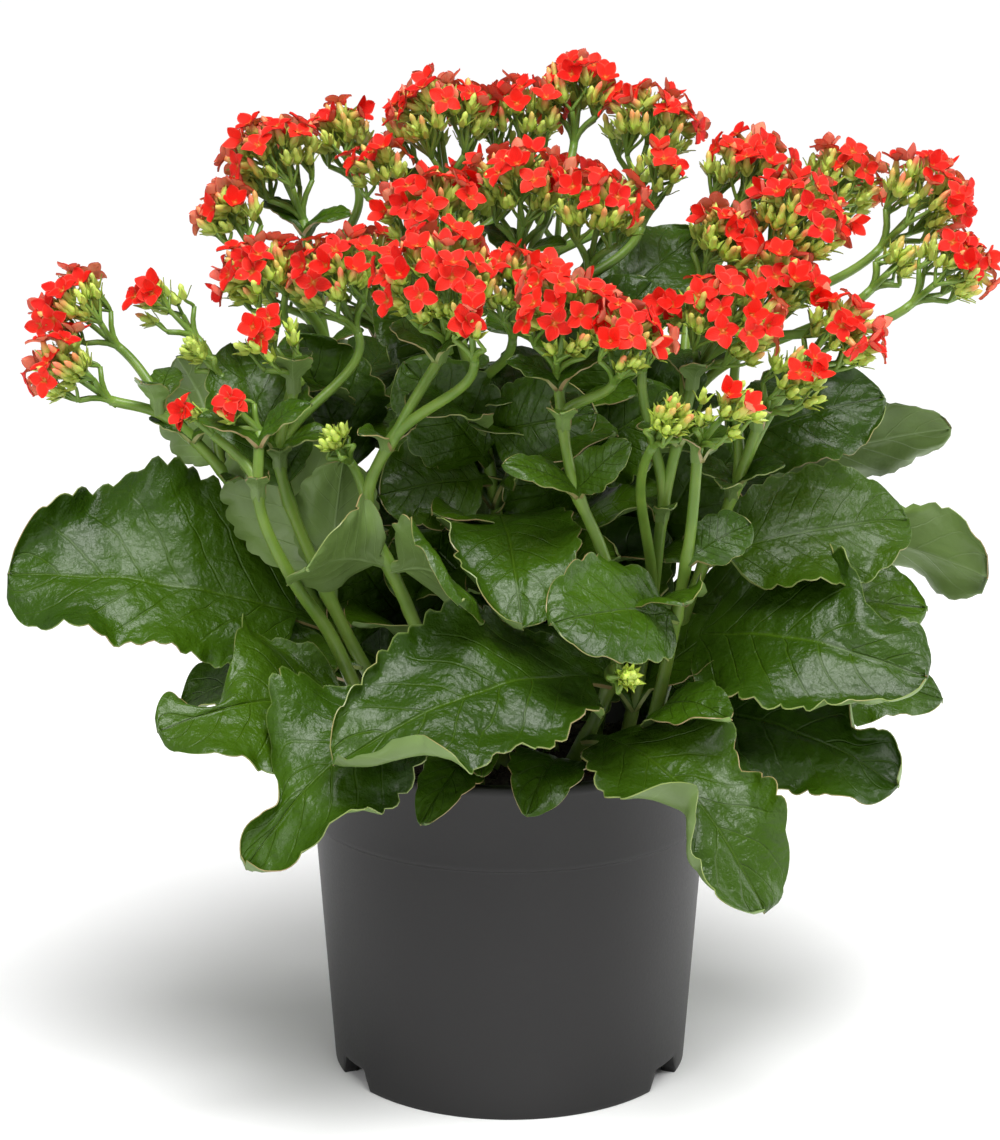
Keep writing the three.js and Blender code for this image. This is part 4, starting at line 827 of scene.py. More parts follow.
def add_leaf(skin, item, place, rng, sizes):
    """One leaf: a blade between two faces, on the rows and columns that its size needs."""
    form = LeafForm(item, place, rng, sizes)
    if item.get("small"):
        rows, columns = SMALL_GRID
    else:
        rows, columns = BROAD_GRID if item["wide"] >= BROAD_LEAF else LEAF_GRID
    sides = [j / columns * 2 - 1 for j in range(columns + 1)]
    sides = [math.copysign(abs(side) ** 0.9, side) for side in sides]
    shares = [1 - (1 - i / rows) ** 1.25 for i in range(rows + 1)]
    middle = [[form.point(share, side) for side in sides] for share in shares]
    marks = [[(form.blade(share), side, form.tone) for side in sides] for share in shares]
    add_blade(skin, middle, marks, form.stalk, sizes)


def add_blade(skin, middle, marks, stalk, sizes):
    """Both faces of a leaf and its thin rim, from its middle surface."""
    rows, columns = len(middle) - 1, len(middle[0]) - 1
    top, back = [], []
    for i in range(rows + 1):
        upper, lower = [], []
        share = i / rows
        fleshy = smooth(stalk * 0.4, stalk + 0.12, share)
        body = lerp(STALK_THICKNESS, sizes.leaf_thickness * PER_METRE, fleshy)
        body *= lerp(1.0, 0.7, smooth(0.4, 1.0, share))
        for j in range(columns + 1):
            along = middle[min(rows, i + 1)][j] - middle[max(0, i - 1)][j]
            over = middle[i][min(columns, j + 1)] - middle[i][max(0, j - 1)]
            up = over.cross(along)
            up = up.normalized() if up.length > 1e-9 else vec(0, 0, 1)
            out = abs(marks[i][j][1])
            half = body * lerp(1.0, 0.4, out ** 3) / 2
            rib = RIB_DEPTH * math.exp(-(out / RIB_WIDTH) ** 2) * (1 - share)
            upper.append(middle[i][j] + up * half)
            lower.append(middle[i][j] - up * (half + rib))
        top.append(upper)
        back.append(lower)
    skin.grid(top, marks, 0)
    skin.grid(back, marks, 1, flip=True)
    outer = [(i, 0) for i in range(rows, -1, -1)] + [(0, j) for j in range(1, columns + 1)]
    outer += [(i, columns) for i in range(1, rows + 1)] + [(rows, j) for j in range(columns - 1, 0, -1)]
    loop = [marks[i][j] for i, j in outer]
    rims = [[face[i][j] for i, j in outer] for face in (top, back)]
    skin.grid(rims, [loop, loop], 2, closed=True)


# ---- Flower heads ------------------------------------------------------------------------------
def leaning(axis, turn, tilt):
    """The direction that leans away from the axis, "turn" round it."""
    right = vec(0, 0, 1).cross(axis).normalized()
    front = axis.cross(right)
    side = right * math.cos(turn) + front * math.sin(turn)
    return axis * math.cos(tilt) + side * math.sin(tilt)


def crossed(out, turn):
    """The direction at right angles to "out", "turn" round it."""
    side = out.orthogonal().normalized()
    return side * math.cos(turn) + out.cross(side) * math.sin(turn)


def on_dome(item, out, reach):
    """The point over a head's dome in a direction: the dome is wider than it is high."""
    axis, radius, middle = head_dome(item)
    rise = out.dot(axis)
    wide = (out - axis * rise) * (radius * DOME_WIDTH + reach)
    return middle + axis * (radius * (1 - DOME_HEIGHT) + rise * (radius * DOME_HEIGHT + reach)) + wide


def floret_places(item, rng):
    """Where a head's open florets stand: (middle, direction, how far open)."""
    axis, radius, _ = head_dome(item)
    count = item["florets"]
    if count == 0:
        return []
    few = count <= FEW_FLORETS
    count = count + 1 if few else max(6, min(22, round(radius * radius * FLORET_DENSITY) + 1))
    cap = 1 - math.cos(math.radians(FEW_ANGLE if few else DOME_ANGLE))
    forward = vec(0, -0.7 if few else 0, 0)
    start = rng.uniform(0, 2 * math.pi)
    places = []
    for i in range(count):
        tilt = math.acos(1 - cap * (i + 0.5) / count)
        out = leaning(axis, start + i * GOLDEN_ANGLE + rng.uniform(-0.25, 0.25), tilt)
        out = (out + forward).normalized()
        facing = (out + axis * 0.2 + jitter(rng, 0.55)).normalized()
        openness = rng.uniform(0.75, 1.0) if rng.random() < OPEN_SHARE else rng.uniform(0.1, 0.6)
        places.append((on_dome(item, out, rng.uniform(-3.0, 1.8)), facing, openness))
    return places


def bud_places(item, rng):
    """Where its closed buds stand: (tip, direction, how ripe)."""
    axis, _, middle = head_dome(item)
    root = head_focus(item).lerp(middle, 0.4)
    rings = BLOOM_RINGS
    if item["florets"] <= FEW_FLORETS:
        rings = ((item["buds"] / item["size"] * 1.6 + 0.3, *CLUSTER_RING), CLUSTER_SKIRT)
    blush = 0.0 if item["name"] == "shoot" else 1.0
    places = []
    for amount, low, high, near, far, green, ripe in rings:
        count = max(3, round(item["size"] * amount))
        start = rng.uniform(0, 2 * math.pi)
        for i in range(count):
            turn = start + i * GOLDEN_ANGLE + rng.uniform(-0.2, 0.2)
            out = leaning(axis, turn, math.radians(rng.uniform(low, high)))
            tip = on_dome(item, out, rng.uniform(near, far))
            way = ((tip - root).normalized() + axis * 0.45 + jitter(rng, 0.18)).normalized()
            places.append((tip, way, rng.uniform(green, ripe * blush)))
    return places


def add_petal(skin, base, way, across, out, openness, rng, sizes, hue):
    """One petal: broad, creased along its middle and drawn to a short point."""
    length = sizes.petal_length * PER_METRE * rng.uniform(0.9, 1.08)
    width = sizes.petal_width * PER_METRE / 2 * rng.uniform(0.92, 1.06)
    lift = (1 - openness) * 5.5 + rng.uniform(-0.6, 0.8)
    droop = rng.uniform(-0.3, 1.5) * openness
    twist = rng.uniform(-0.25, 0.25)
    rows, marks = [], []
    for i in range(PETAL_ROWS + 1):
        share = i / PETAL_ROWS
        half = width * math.sin(math.pi * (0.12 + 0.87 * share ** 0.9)) ** 0.75
        run = share * length * lerp(0.62, 1.0, openness)
        height = lift * share ** 1.4 - droop * share ** 3 + 0.5 * math.sin(math.pi * share)
        row, mark = [], []
        for side in (-1, -0.5, 0, 0.5, 1):
            ripple = 0.15 * math.sin(share * 9 + hue * 9) * side
            crease = 0.55 * abs(side) + ripple + twist * side * half * share
            row.append(base + way * (run + 0.5) + across * side * half + out * (height + crease))
            mark.append((share, side, hue))
        rows.append(row)
        marks.append(mark)
    skin.grid(rows, marks, 0, flip=True)
    skin.grid([[p - out * PETAL_THICKNESS for p in row] for row in rows], marks, 1)


def add_floret(skin, middle, out, openness, rng, sizes):
    """Four petals in a cross round a small throat."""
    spin = rng.uniform(0, math.pi)
    hue = rng.random()
    for petal in range(4):
        way = crossed(out, spin + petal * math.pi / 2 + rng.uniform(-0.14, 0.14))
        base = middle + out * (0.15 * (petal % 2))
        spread = openness * rng.uniform(0.9, 1.0)
        add_petal(skin, base, way, out.cross(way), out, spread, rng, sizes, hue)
    throat = [middle - out * 0.8, middle + out * 0.2, middle + out * 0.55]
    skin.tube(throat, [1.0, 0.75, 0.2], 6, [(0, 0, 2)] * 3, 2)


def add_sepals(skin, base, out, spin, reach):
    """Four pointed sepals that stand out round the foot of a flower or a bud."""
    marks = [[CALYX_MARK] * 3] * len(SEPAL_STATIONS)
    for sepal in range(4):
        way = crossed(out, spin + sepal * math.pi / 2)
        over = out.cross(way)
        rows = []
        for share, wide, stand in SEPAL_STATIONS:
            centre = base + out * (share * reach - 0.4) + way * stand
            rows.append([centre - over * wide, centre + way * 0.25, centre + over * wide])
        skin.grid(rows, marks, 0, flip=True)
        skin.grid([[p - way * SEPAL_THICKNESS for p in row] for row in rows], marks, 0)


def add_flask(skin, base, out, length, profile, blush_at, reach, rng):
    """A swollen tube, reddened by blush_at along its way, with sepals of a given reach at its foot."""
    centres = [base + out * length * share for share, _ in profile]
    marks = [(2, 0.5, blush_at(share)) for share, _ in profile]
    skin.tube(centres, [radius for _, radius in profile], 7, marks)
    add_sepals(skin, base, out, rng.uniform(0, 2), reach)


def add_bud(skin, tip, out, ripe, rng, sizes):
    """A closed bud: four petals folded to a point, redder towards its tip the riper it is."""
    length = sizes.bud_length * PER_METRE * lerp(0.62, 1.1, smooth(-0.4, 1, ripe))
    base = tip - out * length
    add_flask(
        skin, base, out, length, BUD_PROFILE,
        lambda share: max(0.0, ripe) * smooth(0.42, 0.8, share), 4.4, rng)
    return base


def add_tube(skin, middle, out, openness, rng):
    """The tube and sepals under an open flower."""
    length = FLOWER_TUBE * lerp(0.8, 1.0, openness)
    base = middle - out * length
    blush = rng.uniform(0.1, 0.9)
    add_flask(skin, base, out, length, TUBE_PROFILE, lambda share: blush * share ** 1.5, 5.2, rng)
    return base


def add_curve(skin, handles, thick, thin, sides, steps, mark):
    """A tapering tube along a bent path. mark gives the shares that a point of it carries."""
    path = [bezier(*handles, i / steps) for i in range(steps + 1)]
    radii = [lerp(thick, thin, i / steps) for i in range(steps + 1)]
    skin.tube(path, radii, sides, [mark(point) for point in path])


def add_stalks(skin, item, bases):
    """Flower stalks: a few main ones spread from the stem's end, and each flower's own from those."""
    axis, _, middle = head_dome(item)
    focus = head_focus(item)
    rise = (middle - focus).length
    spread = math.radians(40)
    ways = [(leaning(axis, k * 2 * math.pi / 5 + 0.5, spread), 0.66) for k in range(5)] + [(axis, 0.8)]
    nodes = [(focus + way * rise * share, way) for way, share in ways]
    used = set()
    for base, out in bases:
        number = max(range(len(nodes)), key=lambda n: (base - nodes[n][0]).normalized().dot(nodes[n][1]))
        used.add(number)
        node, way = nodes[number]
        gap = (base - node).length
        handles = (node - way, node + way * gap * 0.3, base - out * gap * 0.4, base + out * 0.4)
        add_curve(skin, handles, 0.8, 0.6, 5, STALK_STEPS, lambda point: (1, 0, 0))
    for number in sorted(used):
        handles = (focus - axis * 3, focus, focus + axis * rise * 0.2, nodes[number][0])
        add_curve(skin, handles, 1.6, 1.0, 6, STALK_STEPS, lambda point: (0.9, 0, 0))


# ---- Materials ---------------------------------------------------------------------------------
class Shader:
    """A material being made. Its methods add nodes to it and give back their outputs."""

    def __init__(self, name):
        self.material = bpy.data.materials.new(name)
        self.material.use_nodes = True
        self.nodes = self.material.node_tree.nodes
        self.links = self.material.node_tree.links

    def feed(self, socket, value):
        """Links an output to a socket, or sets the socket itself to a number or a colour."""
        if isinstance(value, bpy.types.NodeSocket):
            self.links.new(value, socket)
        elif isinstance(value, (int, float)):
            socket.default_value = value
        else:
            socket.default_value = (*value, 1)

    def surface(self, values):
        """Feeds the surface's own sockets, by their names, and gives back the finished material."""
        for name, value in values.items():
            self.feed(self.nodes["Principled BSDF"].inputs[name], value)
        return self.material

    def math(self, operation, *values):
        node = self.nodes.new("ShaderNodeMath")
        node.operation = operation
        for socket, value in zip(node.inputs, values):
            self.feed(socket, value)
        return node.outputs[0]

    def step(self, value, low, high):
        """0 to 1 as the value goes from low to high."""
        node = self.nodes.new("ShaderNodeMapRange")
        node.interpolation_type = "SMOOTHSTEP"
        for name, given in (("From Min", low), ("From Max", high), ("Value", value)):
            self.feed(node.inputs[name], given)
        return node.outputs["Result"]

    def mix(self, factor, first, second):
        """Blends two colours."""
        node = self.nodes.new("ShaderNodeMix")
        node.data_type = "RGBA"
        self.feed(node.inputs["Factor"], factor)
        self.feed(node.inputs[MIX_FIRST], first)
        self.feed(node.inputs[MIX_SECOND], second)
        return node.outputs[MIX_RESULT]

    def noise(self, scale, detail=3, roughness=0.5):
        where = self.nodes.new("ShaderNodeTexCoord").outputs["Object"]
        node = self.nodes.new("ShaderNodeTexNoise")
        given = {"Vector": where, "Scale": scale, "Detail": detail, "Roughness": roughness}
        for name, value in given.items():
            self.feed(node.inputs[name], value)
        return node.outputs["Fac"]

    def place(self):
        """The three shares that each point of a mesh carries."""
        mark = self.nodes.new("ShaderNodeAttribute")
        mark.attribute_name = "place"
        split = self.nodes.new("ShaderNodeSeparateXYZ")
        self.links.new(mark.outputs["Vector"], split.inputs[0])
        return split.outputs[0], split.outputs[1], split.outputs[2]

    def bump(self, height, strength, distance):
        node = self.nodes.new("ShaderNodeBump")
        for name, value in (("Strength", strength), ("Distance", distance), ("Height", height)):
            self.feed(node.inputs[name], value)
        return node.outputs["Normal"]

    def veins(self):
        """The veins of a leaf, 1 on a vein and 0 beside it, with its edge share and its tone."""
        share, side, tone = self.place()
        out = self.math("ABSOLUTE", side)
        slanted = self.math("MULTIPLY_ADD", out, -0.30, share)
        wandering = self.math("MULTIPLY_ADD", self.noise(60, 2), 0.06, slanted)
        wave = self.math("PINGPONG", self.math("MULTIPLY", wandering, 7.0), 0.5)
        fade = self.math("MULTIPLY_ADD", self.step(out, 0.95, 0.4), 0.6, 0.1)
        side_veins = self.math("MULTIPLY", self.step(wave, 0.06, 0.0), fade)
        rib = self.step(out, 0.04, 0.0)
        return self.math("MAXIMUM", rib, side_veins), out, tone


def scaled(colour, *shares):
    """A colour times one share, or times one share for each channel."""
    return [c * s for c, s in zip(colour, shares if len(shares) == 3 else shares * 3)]


def leaf_top_material(colours):
    top = Shader("Leaf top")
    veins, out, tone = top.veins()
    base = colours.leaf
    patch = top.step(top.noise(16, 4), 0.32, 0.70)
    blade = top.mix(patch, scaled(base, 0.72), scaled(base, 1.75, 1.5, 1.3))
    blade = top.mix(top.math("MULTIPLY", tone, 0.45), blade, scaled(base, 2.4, 1.75, 2.2))
    veined = top.mix(top.math("MULTIPLY", veins, 0.42), blade, scaled(base, 3.2, 2.3, 3.5))
    crinkle = top.math("MULTIPLY", top.noise(150, 5), 3.0)
    relief = top.math("MULTIPLY_ADD", veins, -0.7, crinkle)
    return top.surface({
        "Base Color": top.mix(top.step(out, 0.975, 1.0), veined, LEAF_EDGE_COLOUR),
        "Roughness": top.math("MULTIPLY_ADD", top.noise(420, 2), 0.20, 0.23),
        "Normal": top.bump(relief, 0.9, 0.0009),
        "Specular IOR Level": 0.24,
        "Coat Weight": 0.12,
        "Coat Roughness": 0.15,
    })


def leaf_back_material(colours):
    back = Shader("Leaf back")
    veins, _, _ = back.veins()
    base = colours.leaf_back
    patch = back.step(back.noise(25, 3), 0.35, 0.65)
    blade = back.mix(patch, scaled(base, 0.78), scaled(base, 1.2))
    relief = back.math("ADD", veins, back.noise(260, 2))
    return back.surface({
        "Base Color": back.mix(back.math("MULTIPLY", veins, 0.7), blade, scaled(base, 1.6, 1.45, 2.2)),
        "Normal": back.bump(relief, 0.4, 0.0006),
        "Roughness": 0.42,
    })


def leaf_rim_material():
    rim = Shader("Leaf rim")
    patch = rim.step(rim.noise(30, 2), 0.4, 0.62)
    return rim.surface({
        "Base Color": rim.mix(patch, RIM_GREEN, RIM_BROWN),
        "Roughness": 0.4,
    })


def stem_material(colours):
    """Stems in painted shade at 0, fresh ones at 1 and calyces at 2 of the first share, blushed by the third.
    """
    stem_finish = Shader("Stem and calyx")
    share, _, blush = stem_finish.place()
    mix, step = stem_finish.mix, stem_finish.step
    base, calyx = colours.stem, colours.calyx
    patch = step(stem_finish.noise(90, 3), 0.3, 0.7)
    fresh = mix(patch, scaled(base, 0.85), scaled(base, 1.25, 1.12, 1.3))
    # Painted shade: low on the stems, under the leaves, the green is darkened and dulled.
    shaded_low = mix(patch, scaled(base, 0.5), scaled(base, 0.85, 0.7, 0.8))
    sepal = mix(patch, scaled(calyx, 0.8), scaled(calyx, 1.15))
    green = mix(step(share, 1.1, 1.9), mix(step(share, 0.0, 0.6), shaded_low, fresh), sepal)
    return stem_finish.surface({
        "Base Color": mix(blush, green, colours.petal_back),
        "Normal": stem_finish.bump(stem_finish.noise(300, 3), 0.25, 0.0004),
        "Roughness": 0.38,
        "Specular IOR Level": 0.4,
        "Subsurface Weight": 0.1,
        "Subsurface Scale": 0.002,
    })


def petal_material(name, base):
    petal = Shader(name)
    share, side, hue = petal.place()
    tone = petal.mix(hue, scaled(base, 0.80, 0.7, 0.8), scaled(base, 1.12, 2.2, 2.0))
    out = petal.math("ABSOLUTE", side)
    edge = petal.math("MULTIPLY", petal.step(out, 0.7, 1.0), 0.4)
    pale = petal.mix(edge, tone, PETAL_EDGE_COLOUR)
    lines = petal.math("SINE", petal.math("MULTIPLY", side, 26.0))
    relief = petal.math("MULTIPLY_ADD", lines, 0.4, petal.noise(500, 2))
    return petal.surface({
        "Base Color": petal.mix(petal.step(share, 0.14, 0.02), pale, PETAL_FOOT_COLOUR),
        "Normal": petal.bump(relief, 0.3, 0.0003),
        "Roughness": 0.6,
        "Specular IOR Level": 0.15,
        "Subsurface Weight": 0.25,
        "Subsurface Scale": 0.003,
    })


def throat_material():
    throat = Shader("Floret throat")
    return throat.surface({
        "Base Color": throat.mix(throat.noise(700, 2), THROAT_GOLD, THROAT_RED),
        "Roughness": 0.55,
    })


def pot_material(colours):
    plastic = Shader("Moulded pot plastic")
    cloud = plastic.step(plastic.noise(14, 4), 0.3, 0.7)
    fine = plastic.noise(900, 3)
    return plastic.surface({
        "Base Color": plastic.mix(cloud, scaled(colours.pot, 0.94), scaled(colours.pot, 1.08)),
        "Roughness": plastic.math("MULTIPLY_ADD", fine, 0.12, 0.42),
        "Normal": plastic.bump(fine, 0.12, 0.0003),
        "Specular IOR Level": 0.35,
    })


def compost_material(colours):
    compost = Shader("Potting compost")
    grain = compost.step(compost.noise(260, 5, 0.7), 0.35, 0.7)
    bark = compost.step(compost.noise(70, 2), 0.60, 0.68)
    dark = compost.mix(grain, scaled(colours.compost, 0.5), scaled(colours.compost, 1.7))
    return compost.surface({
        "Base Color": compost.mix(bark, dark, BARK_COLOUR),
        "Normal": compost.bump(compost.noise(380, 4, 0.7), 0.9, 0.0015),
        "Roughness": 0.92,
    })


MAKERS = {
    "Leaf top": leaf_top_material,
    "Leaf back": leaf_back_material,
    "Leaf rim": lambda colours: leaf_rim_material(),
    "Stem and calyx": stem_material,
    "Petal": lambda colours: petal_material("Petal", colours.petal),
    "Petal back": lambda colours: petal_material("Petal back", colours.petal_back),
    "Floret throat": lambda colours: throat_material(),
    "Moulded pot plastic": pot_material,
    "Potting compost": compost_material,
}


def finish(name):
    """A finish of the plant, made once and then shared by its pieces."""
    return bpy.data.materials.get(name) or MAKERS[name](bpy.context.scene.kalanchoe_colours)


# ---- Pot ---------------------------------------------------------------------------------------
def inner_radius(height):
    """Radius of the pot's inside at a height."""
    share = max(0.0, (height - FLOOR_HEIGHT) / (POT_HEIGHT - FLOOR_HEIGHT))
    return lerp(FOOT_RADIUS, LEDGE_RADIUS, share) - POT_WALL


def pot_profile():
    """Radius and height of each corner, from under the floor, up the outside and down the inside."""
    foot = FOOT_RADIUS - FOOT_WIDTH
    rim = inner_radius(POT_HEIGHT)
    under = [
        (0.01, UNDERSIDE), (foot - 1, UNDERSIDE), (foot, UNDERSIDE - 0.6), (foot + 0.4, 1.0),
        (foot + 0.5, 0.2), (foot + 0.8, 0), (FOOT_RADIUS - 0.4, 0), (FOOT_RADIUS, 0.4),
    ]
    levels = (2, 6, NOTCH_HEIGHT + 0.6, NOTCH_HEIGHT + 3, 30, 60, 85, LEDGE_HEIGHT - 1.0, LEDGE_HEIGHT)
    wall = [(lerp(FOOT_RADIUS, LEDGE_RADIUS, height / LEDGE_HEIGHT), height) for height in levels]
    band = [
        (BAND_RADIUS - 0.25, LEDGE_HEIGHT + 0.15), (BAND_RADIUS, LEDGE_HEIGHT + 0.6),
        (BAND_RADIUS + 0.05, LEDGE_HEIGHT + 2), (RIM_RADIUS - 0.6, POT_HEIGHT - 4.4),
        (RIM_RADIUS - 0.1, POT_HEIGHT - 3.4), (RIM_RADIUS, POT_HEIGHT - 2.6),
        (RIM_RADIUS, POT_HEIGHT - 0.5), (RIM_RADIUS - 0.5, POT_HEIGHT),
        (rim + 0.5, POT_HEIGHT), (rim, POT_HEIGHT - 0.6),
    ]
    inside = [(inner_radius(height), height) for height in (100, 50, 12)]
    floor = [(inner_radius(FLOOR_HEIGHT) - 2, FLOOR_HEIGHT), (0.01, FLOOR_HEIGHT)]
    return under + wall + band + inside + floor


def notched(radius, angle, height):
    """A height of the profile, lifted where a drain notch cuts through the foot ring."""
    if radius <= FOOT_RADIUS - FOOT_WIDTH - 2 or height >= NOTCH_HEIGHT:
        return height
    gap = min(abs((math.degrees(angle) - notch + 180) % 360 - 180) for notch in NOTCH_ANGLES)
    raised = NOTCH_HEIGHT * (1 - smooth(NOTCH_HALF_ANGLE - 2.4, NOTCH_HALF_ANGLE + 0.3, gap))
    return max(height, raised * (0.86 if height > 6 else 1.0))


# ---- Compost -----------------------------------------------------------------------------------
def compost_level(x, y):
    """Height of the compost, lower at the pot's wall."""
    lumps = noise.noise((x * 0.09, y * 0.09, 3)) * 1.8
    edge = smooth(COMPOST_RADIUS - 12, COMPOST_RADIUS, math.hypot(x, y))
    return SOIL_HEIGHT - 1.5 + lumps - 2.2 * edge


def add_crumb(skin, centre, size, rng):
    """A rough eight-faced crumb, turned and stretched at random."""
    turn = Quaternion(jitter(rng, 1).normalized(), rng.uniform(0, 6))
    stretch = (rng.uniform(0.7, 1.8), rng.uniform(0.6, 1.2), rng.uniform(0.5, 0.9))
    corners = []
    for axis in range(3):
        for way in (-1, 1):
            corner = Vector([0, 0, 0])
            corner[axis] = way * size * stretch[axis] * rng.uniform(0.8, 1.2)
            corner.rotate(turn)
            corners.append(centre + corner)
    first = skin.add(corners, [PLAIN] * len(corners))
    for x in (0, 1):
        for y in (2, 3):
            for z in (4, 5):
                corners = (first + x, first + y, first + z)
                skin.face(corners if (x + y + z) % 2 else corners[::-1], 0)


# ---- Operators ---------------------------------------------------------------------------------
class KALANCHOE_OT_pot(bpy.types.Operator):
    """Turn the nursery pot: tapered wall, ledge, plain band, rolled rim and notched foot"""
    bl_idname = "kalanchoe.pot"
    bl_label = "Pot"

    def execute(self, context):
        angles = [2 * math.pi * k / POT_SEGMENTS for k in range(POT_SEGMENTS)]
        rows = [
            [on_circle(radius, angle, notched(radius, angle, height)) for angle in angles]
            for radius, height in pot_profile()
        ]
        skin = Skin()
        skin.grid(rows, [[PLAIN] * POT_SEGMENTS] * len(rows), 0, closed=True)
        skin.piece("Nursery_pot", [finish("Moulded pot plastic")], ["pot"], "pot")
        return {"FINISHED"}


class KALANCHOE_OT_compost(bpy.types.Operator):
    """Fill the pot with compost: an uneven surface under loose crumbs and bark"""
    bl_idname = "kalanchoe.compost"
    bl_label = "Compost"

    def execute(self, context):
        rng = random.Random(context.scene.kalanchoe_sizes.seed)
        angles = [2 * math.pi * k / COMPOST_SEGMENTS for k in range(COMPOST_SEGMENTS)]
        bottom = FLOOR_HEIGHT + 1
        rows = [[on_circle(radius, angle, bottom) for angle in angles] for radius in (0, FOOT_RADIUS - 4)]
        for i in range(COMPOST_RINGS):
            radius = COMPOST_RADIUS * (1 - i / (COMPOST_RINGS - 1)) + 0.01
            row = []
            for angle in angles:
                x, y = radius * math.cos(angle), radius * math.sin(angle)
                row.append(vec(x, y, compost_level(x, y) + noise.noise((x * 0.35, y * 0.35, 9)) * 0.9))
            rows.append(row)
        skin = Skin()
        skin.grid(rows, [[PLAIN] * COMPOST_SEGMENTS] * len(rows), 0, closed=True)
        for _ in range(CRUMBS):
            radius = COMPOST_RADIUS * math.sqrt(rng.random()) * 0.985
            angle = rng.uniform(0, 2 * math.pi)
            x, y = radius * math.cos(angle), radius * math.sin(angle)
            size = rng.uniform(0.6, 1.9) * (1.7 if rng.random() < BARK_SHARE else 1)
            add_crumb(skin, vec(x, y, compost_level(x, y)), size, rng)
        skin.piece("Compost", [finish("Potting compost")], ["soil"], "soil", smooth_faces=False)
        return {"FINISHED"}


class KALANCHOE_OT_stems(bpy.types.Operator):
    """Grow the stems with their branches, flower stalks, calyces and buds"""
    bl_idname = "kalanchoe.stems"
    bl_label = "Stems and buds"

    def execute(self, context):
        sizes = context.scene.kalanchoe_sizes
        for index, item in enumerate(STEMS):
            skin = Skin()
            points = trunk_points(item)
            self.trunk(skin, item, points)
            for order, carried in enumerate(item["heads"]):
                rng = random.Random(sizes.seed + HEAD_SEED * index + order)
                self.carry(skin, points, carried, rng, sizes)
            if item["name"] in SHOOTS:
                self.carry(skin, points, SHOOTS[item["name"]], random.Random(sizes.seed + index), sizes)
            node = f"leafy_stem_{item['name']}"
            skin.piece(f"Stem_{item['name']}", [finish("Stem and calyx")], [node], "leaf")
        return {"FINISHED"}

    def shade_by_height(self, point):
        """The marks of a point on a stem: 0 at the compost, where its green is darkened with painted shade,
        rising to 1 and fresh green at the top.
        """
        return (smooth(120, 250, point.z), 0, 0)

    def trunk(self, skin, item, points):
        """The main stem, swollen a little where each leaf or branch leaves it."""
        joints = [blade["start"] for blade in item["leaves"]] + [h["fork"] for h in item["heads"][1:]]
        shares = [i / TRUNK_STEPS for i in range(TRUNK_STEPS + 1)]
        centres = [catmull_rom(points, share) for share in shares]
        radii = []
        for share, centre in zip(shares, centres):
            swell = sum(0.6 * math.exp(-((centre.z - joint) / 2.5) ** 2) for joint in joints)
            girth = lerp(TRUNK_RADIUS, TRUNK_MIDDLE, smooth(0, 0.5, share))
            radii.append(lerp(girth, NECK_RADIUS, smooth(0.35, 1.0, share)) + min(0.7, swell))
        skin.tube(centres, radii, TRUNK_SIDES, [self.shade_by_height(centre) for centre in centres])

    def carry(self, skin, points, item, rng, sizes):
        """A head's side branch, if it has one, its flowers' tubes, its buds and all their stalks."""
        if item["fork"]:
            handles = branch_curve(points, item)
            add_curve(skin, handles, BRANCH_RADIUS, NECK_RADIUS * 0.85, BRANCH_SIDES, BRANCH_STEPS, self.shade_by_height)
        bases = []
        florets = floret_places(item, rng)
        for middle, out, openness in florets:
            bases.append((add_tube(skin, middle, out, openness, rng), out))
        for tip, out, ripe in bud_places(item, rng):
            if all((tip - middle).length > BUD_CLEARANCE for middle, _, _ in florets):
                bases.append((add_bud(skin, tip, out, ripe, rng, sizes), out))
        add_stalks(skin, item, bases)


class KALANCHOE_OT_leaves(bpy.types.Operator):
    """Unfold the leaves of every stem where the frame has them, and the small ones between them"""
    bl_idname = "kalanchoe.leaves"
    bl_label = "Leaves"

    def execute(self, context):
        sizes = context.scene.kalanchoe_sizes
        materials = [finish("Leaf top"), finish("Leaf back"), finish("Leaf rim")]
        for index, item in enumerate(STEMS):
            node = f"leafy_stem_{item['name']}"
            corners = self.corners(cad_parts[node])
            points = trunk_points(item)
            skin = Skin()
            blades = [*item["leaves"], *filler_leaves(item, points, FILLER_SEED + index)]
            for number, blade in enumerate(blades):
                place = settled_leaf(blade, trunk_at(points, blade["start"])[0], corners)
                rng = random.Random(sizes.seed + LEAF_SEED * index + number)
                if place:
                    add_leaf(skin, blade, place, rng, sizes)
                elif not blade.get("filler"):
                    raise RuntimeError(f"the frame has no leaf {blade['name']} on {node}")
            rng = random.Random(sizes.seed + PAIR_SEED + index)
            for blade in [*INNER_LEAVES.get(item["name"], ()), *pair_leaves(item, points, rng)]:
                place = leaf_frame(blade, trunk_at(points, blade["start"])[0])
                add_leaf(skin, blade, place, rng, sizes)
            skin.piece(f"Leaves_{item['name']}", materials, [node], "leaf")
        return {"FINISHED"}

    def corners(self, solid):
        """The corners of a solid of the frame, in millimetres, ready to be searched."""
        tree = KDTree(len(solid.data.vertices))
        for number, vertex in enumerate(solid.data.vertices):
            tree.insert(solid.matrix_world @ vertex.co * PER_METRE, number)
        tree.balance()
        return tree


class KALANCHOE_OT_flowers(bpy.types.Operator):
    """Open the florets of every head, each of four petals in a cross"""
    bl_idname = "kalanchoe.flowers"
    bl_label = "Flowers"

    def execute(self, context):
        sizes = context.scene.kalanchoe_sizes
        materials = [finish("Petal"), finish("Petal back"), finish("Floret throat")]
        for index, item in enumerate(STEMS):
            for order, carried in enumerate(item["heads"]):
                if carried["florets"] == 0:
                    continue
                rng = random.Random(sizes.seed + HEAD_SEED * index + order)
                skin = Skin()
                for middle, out, openness in floret_places(carried, rng):
                    add_floret(skin, middle, out, openness, rng, sizes)
                name = carried["name"]
                skin.piece(f"Florets_{name}", materials, [f"flowers_{name}"], "petal")
        return {"FINISHED"}


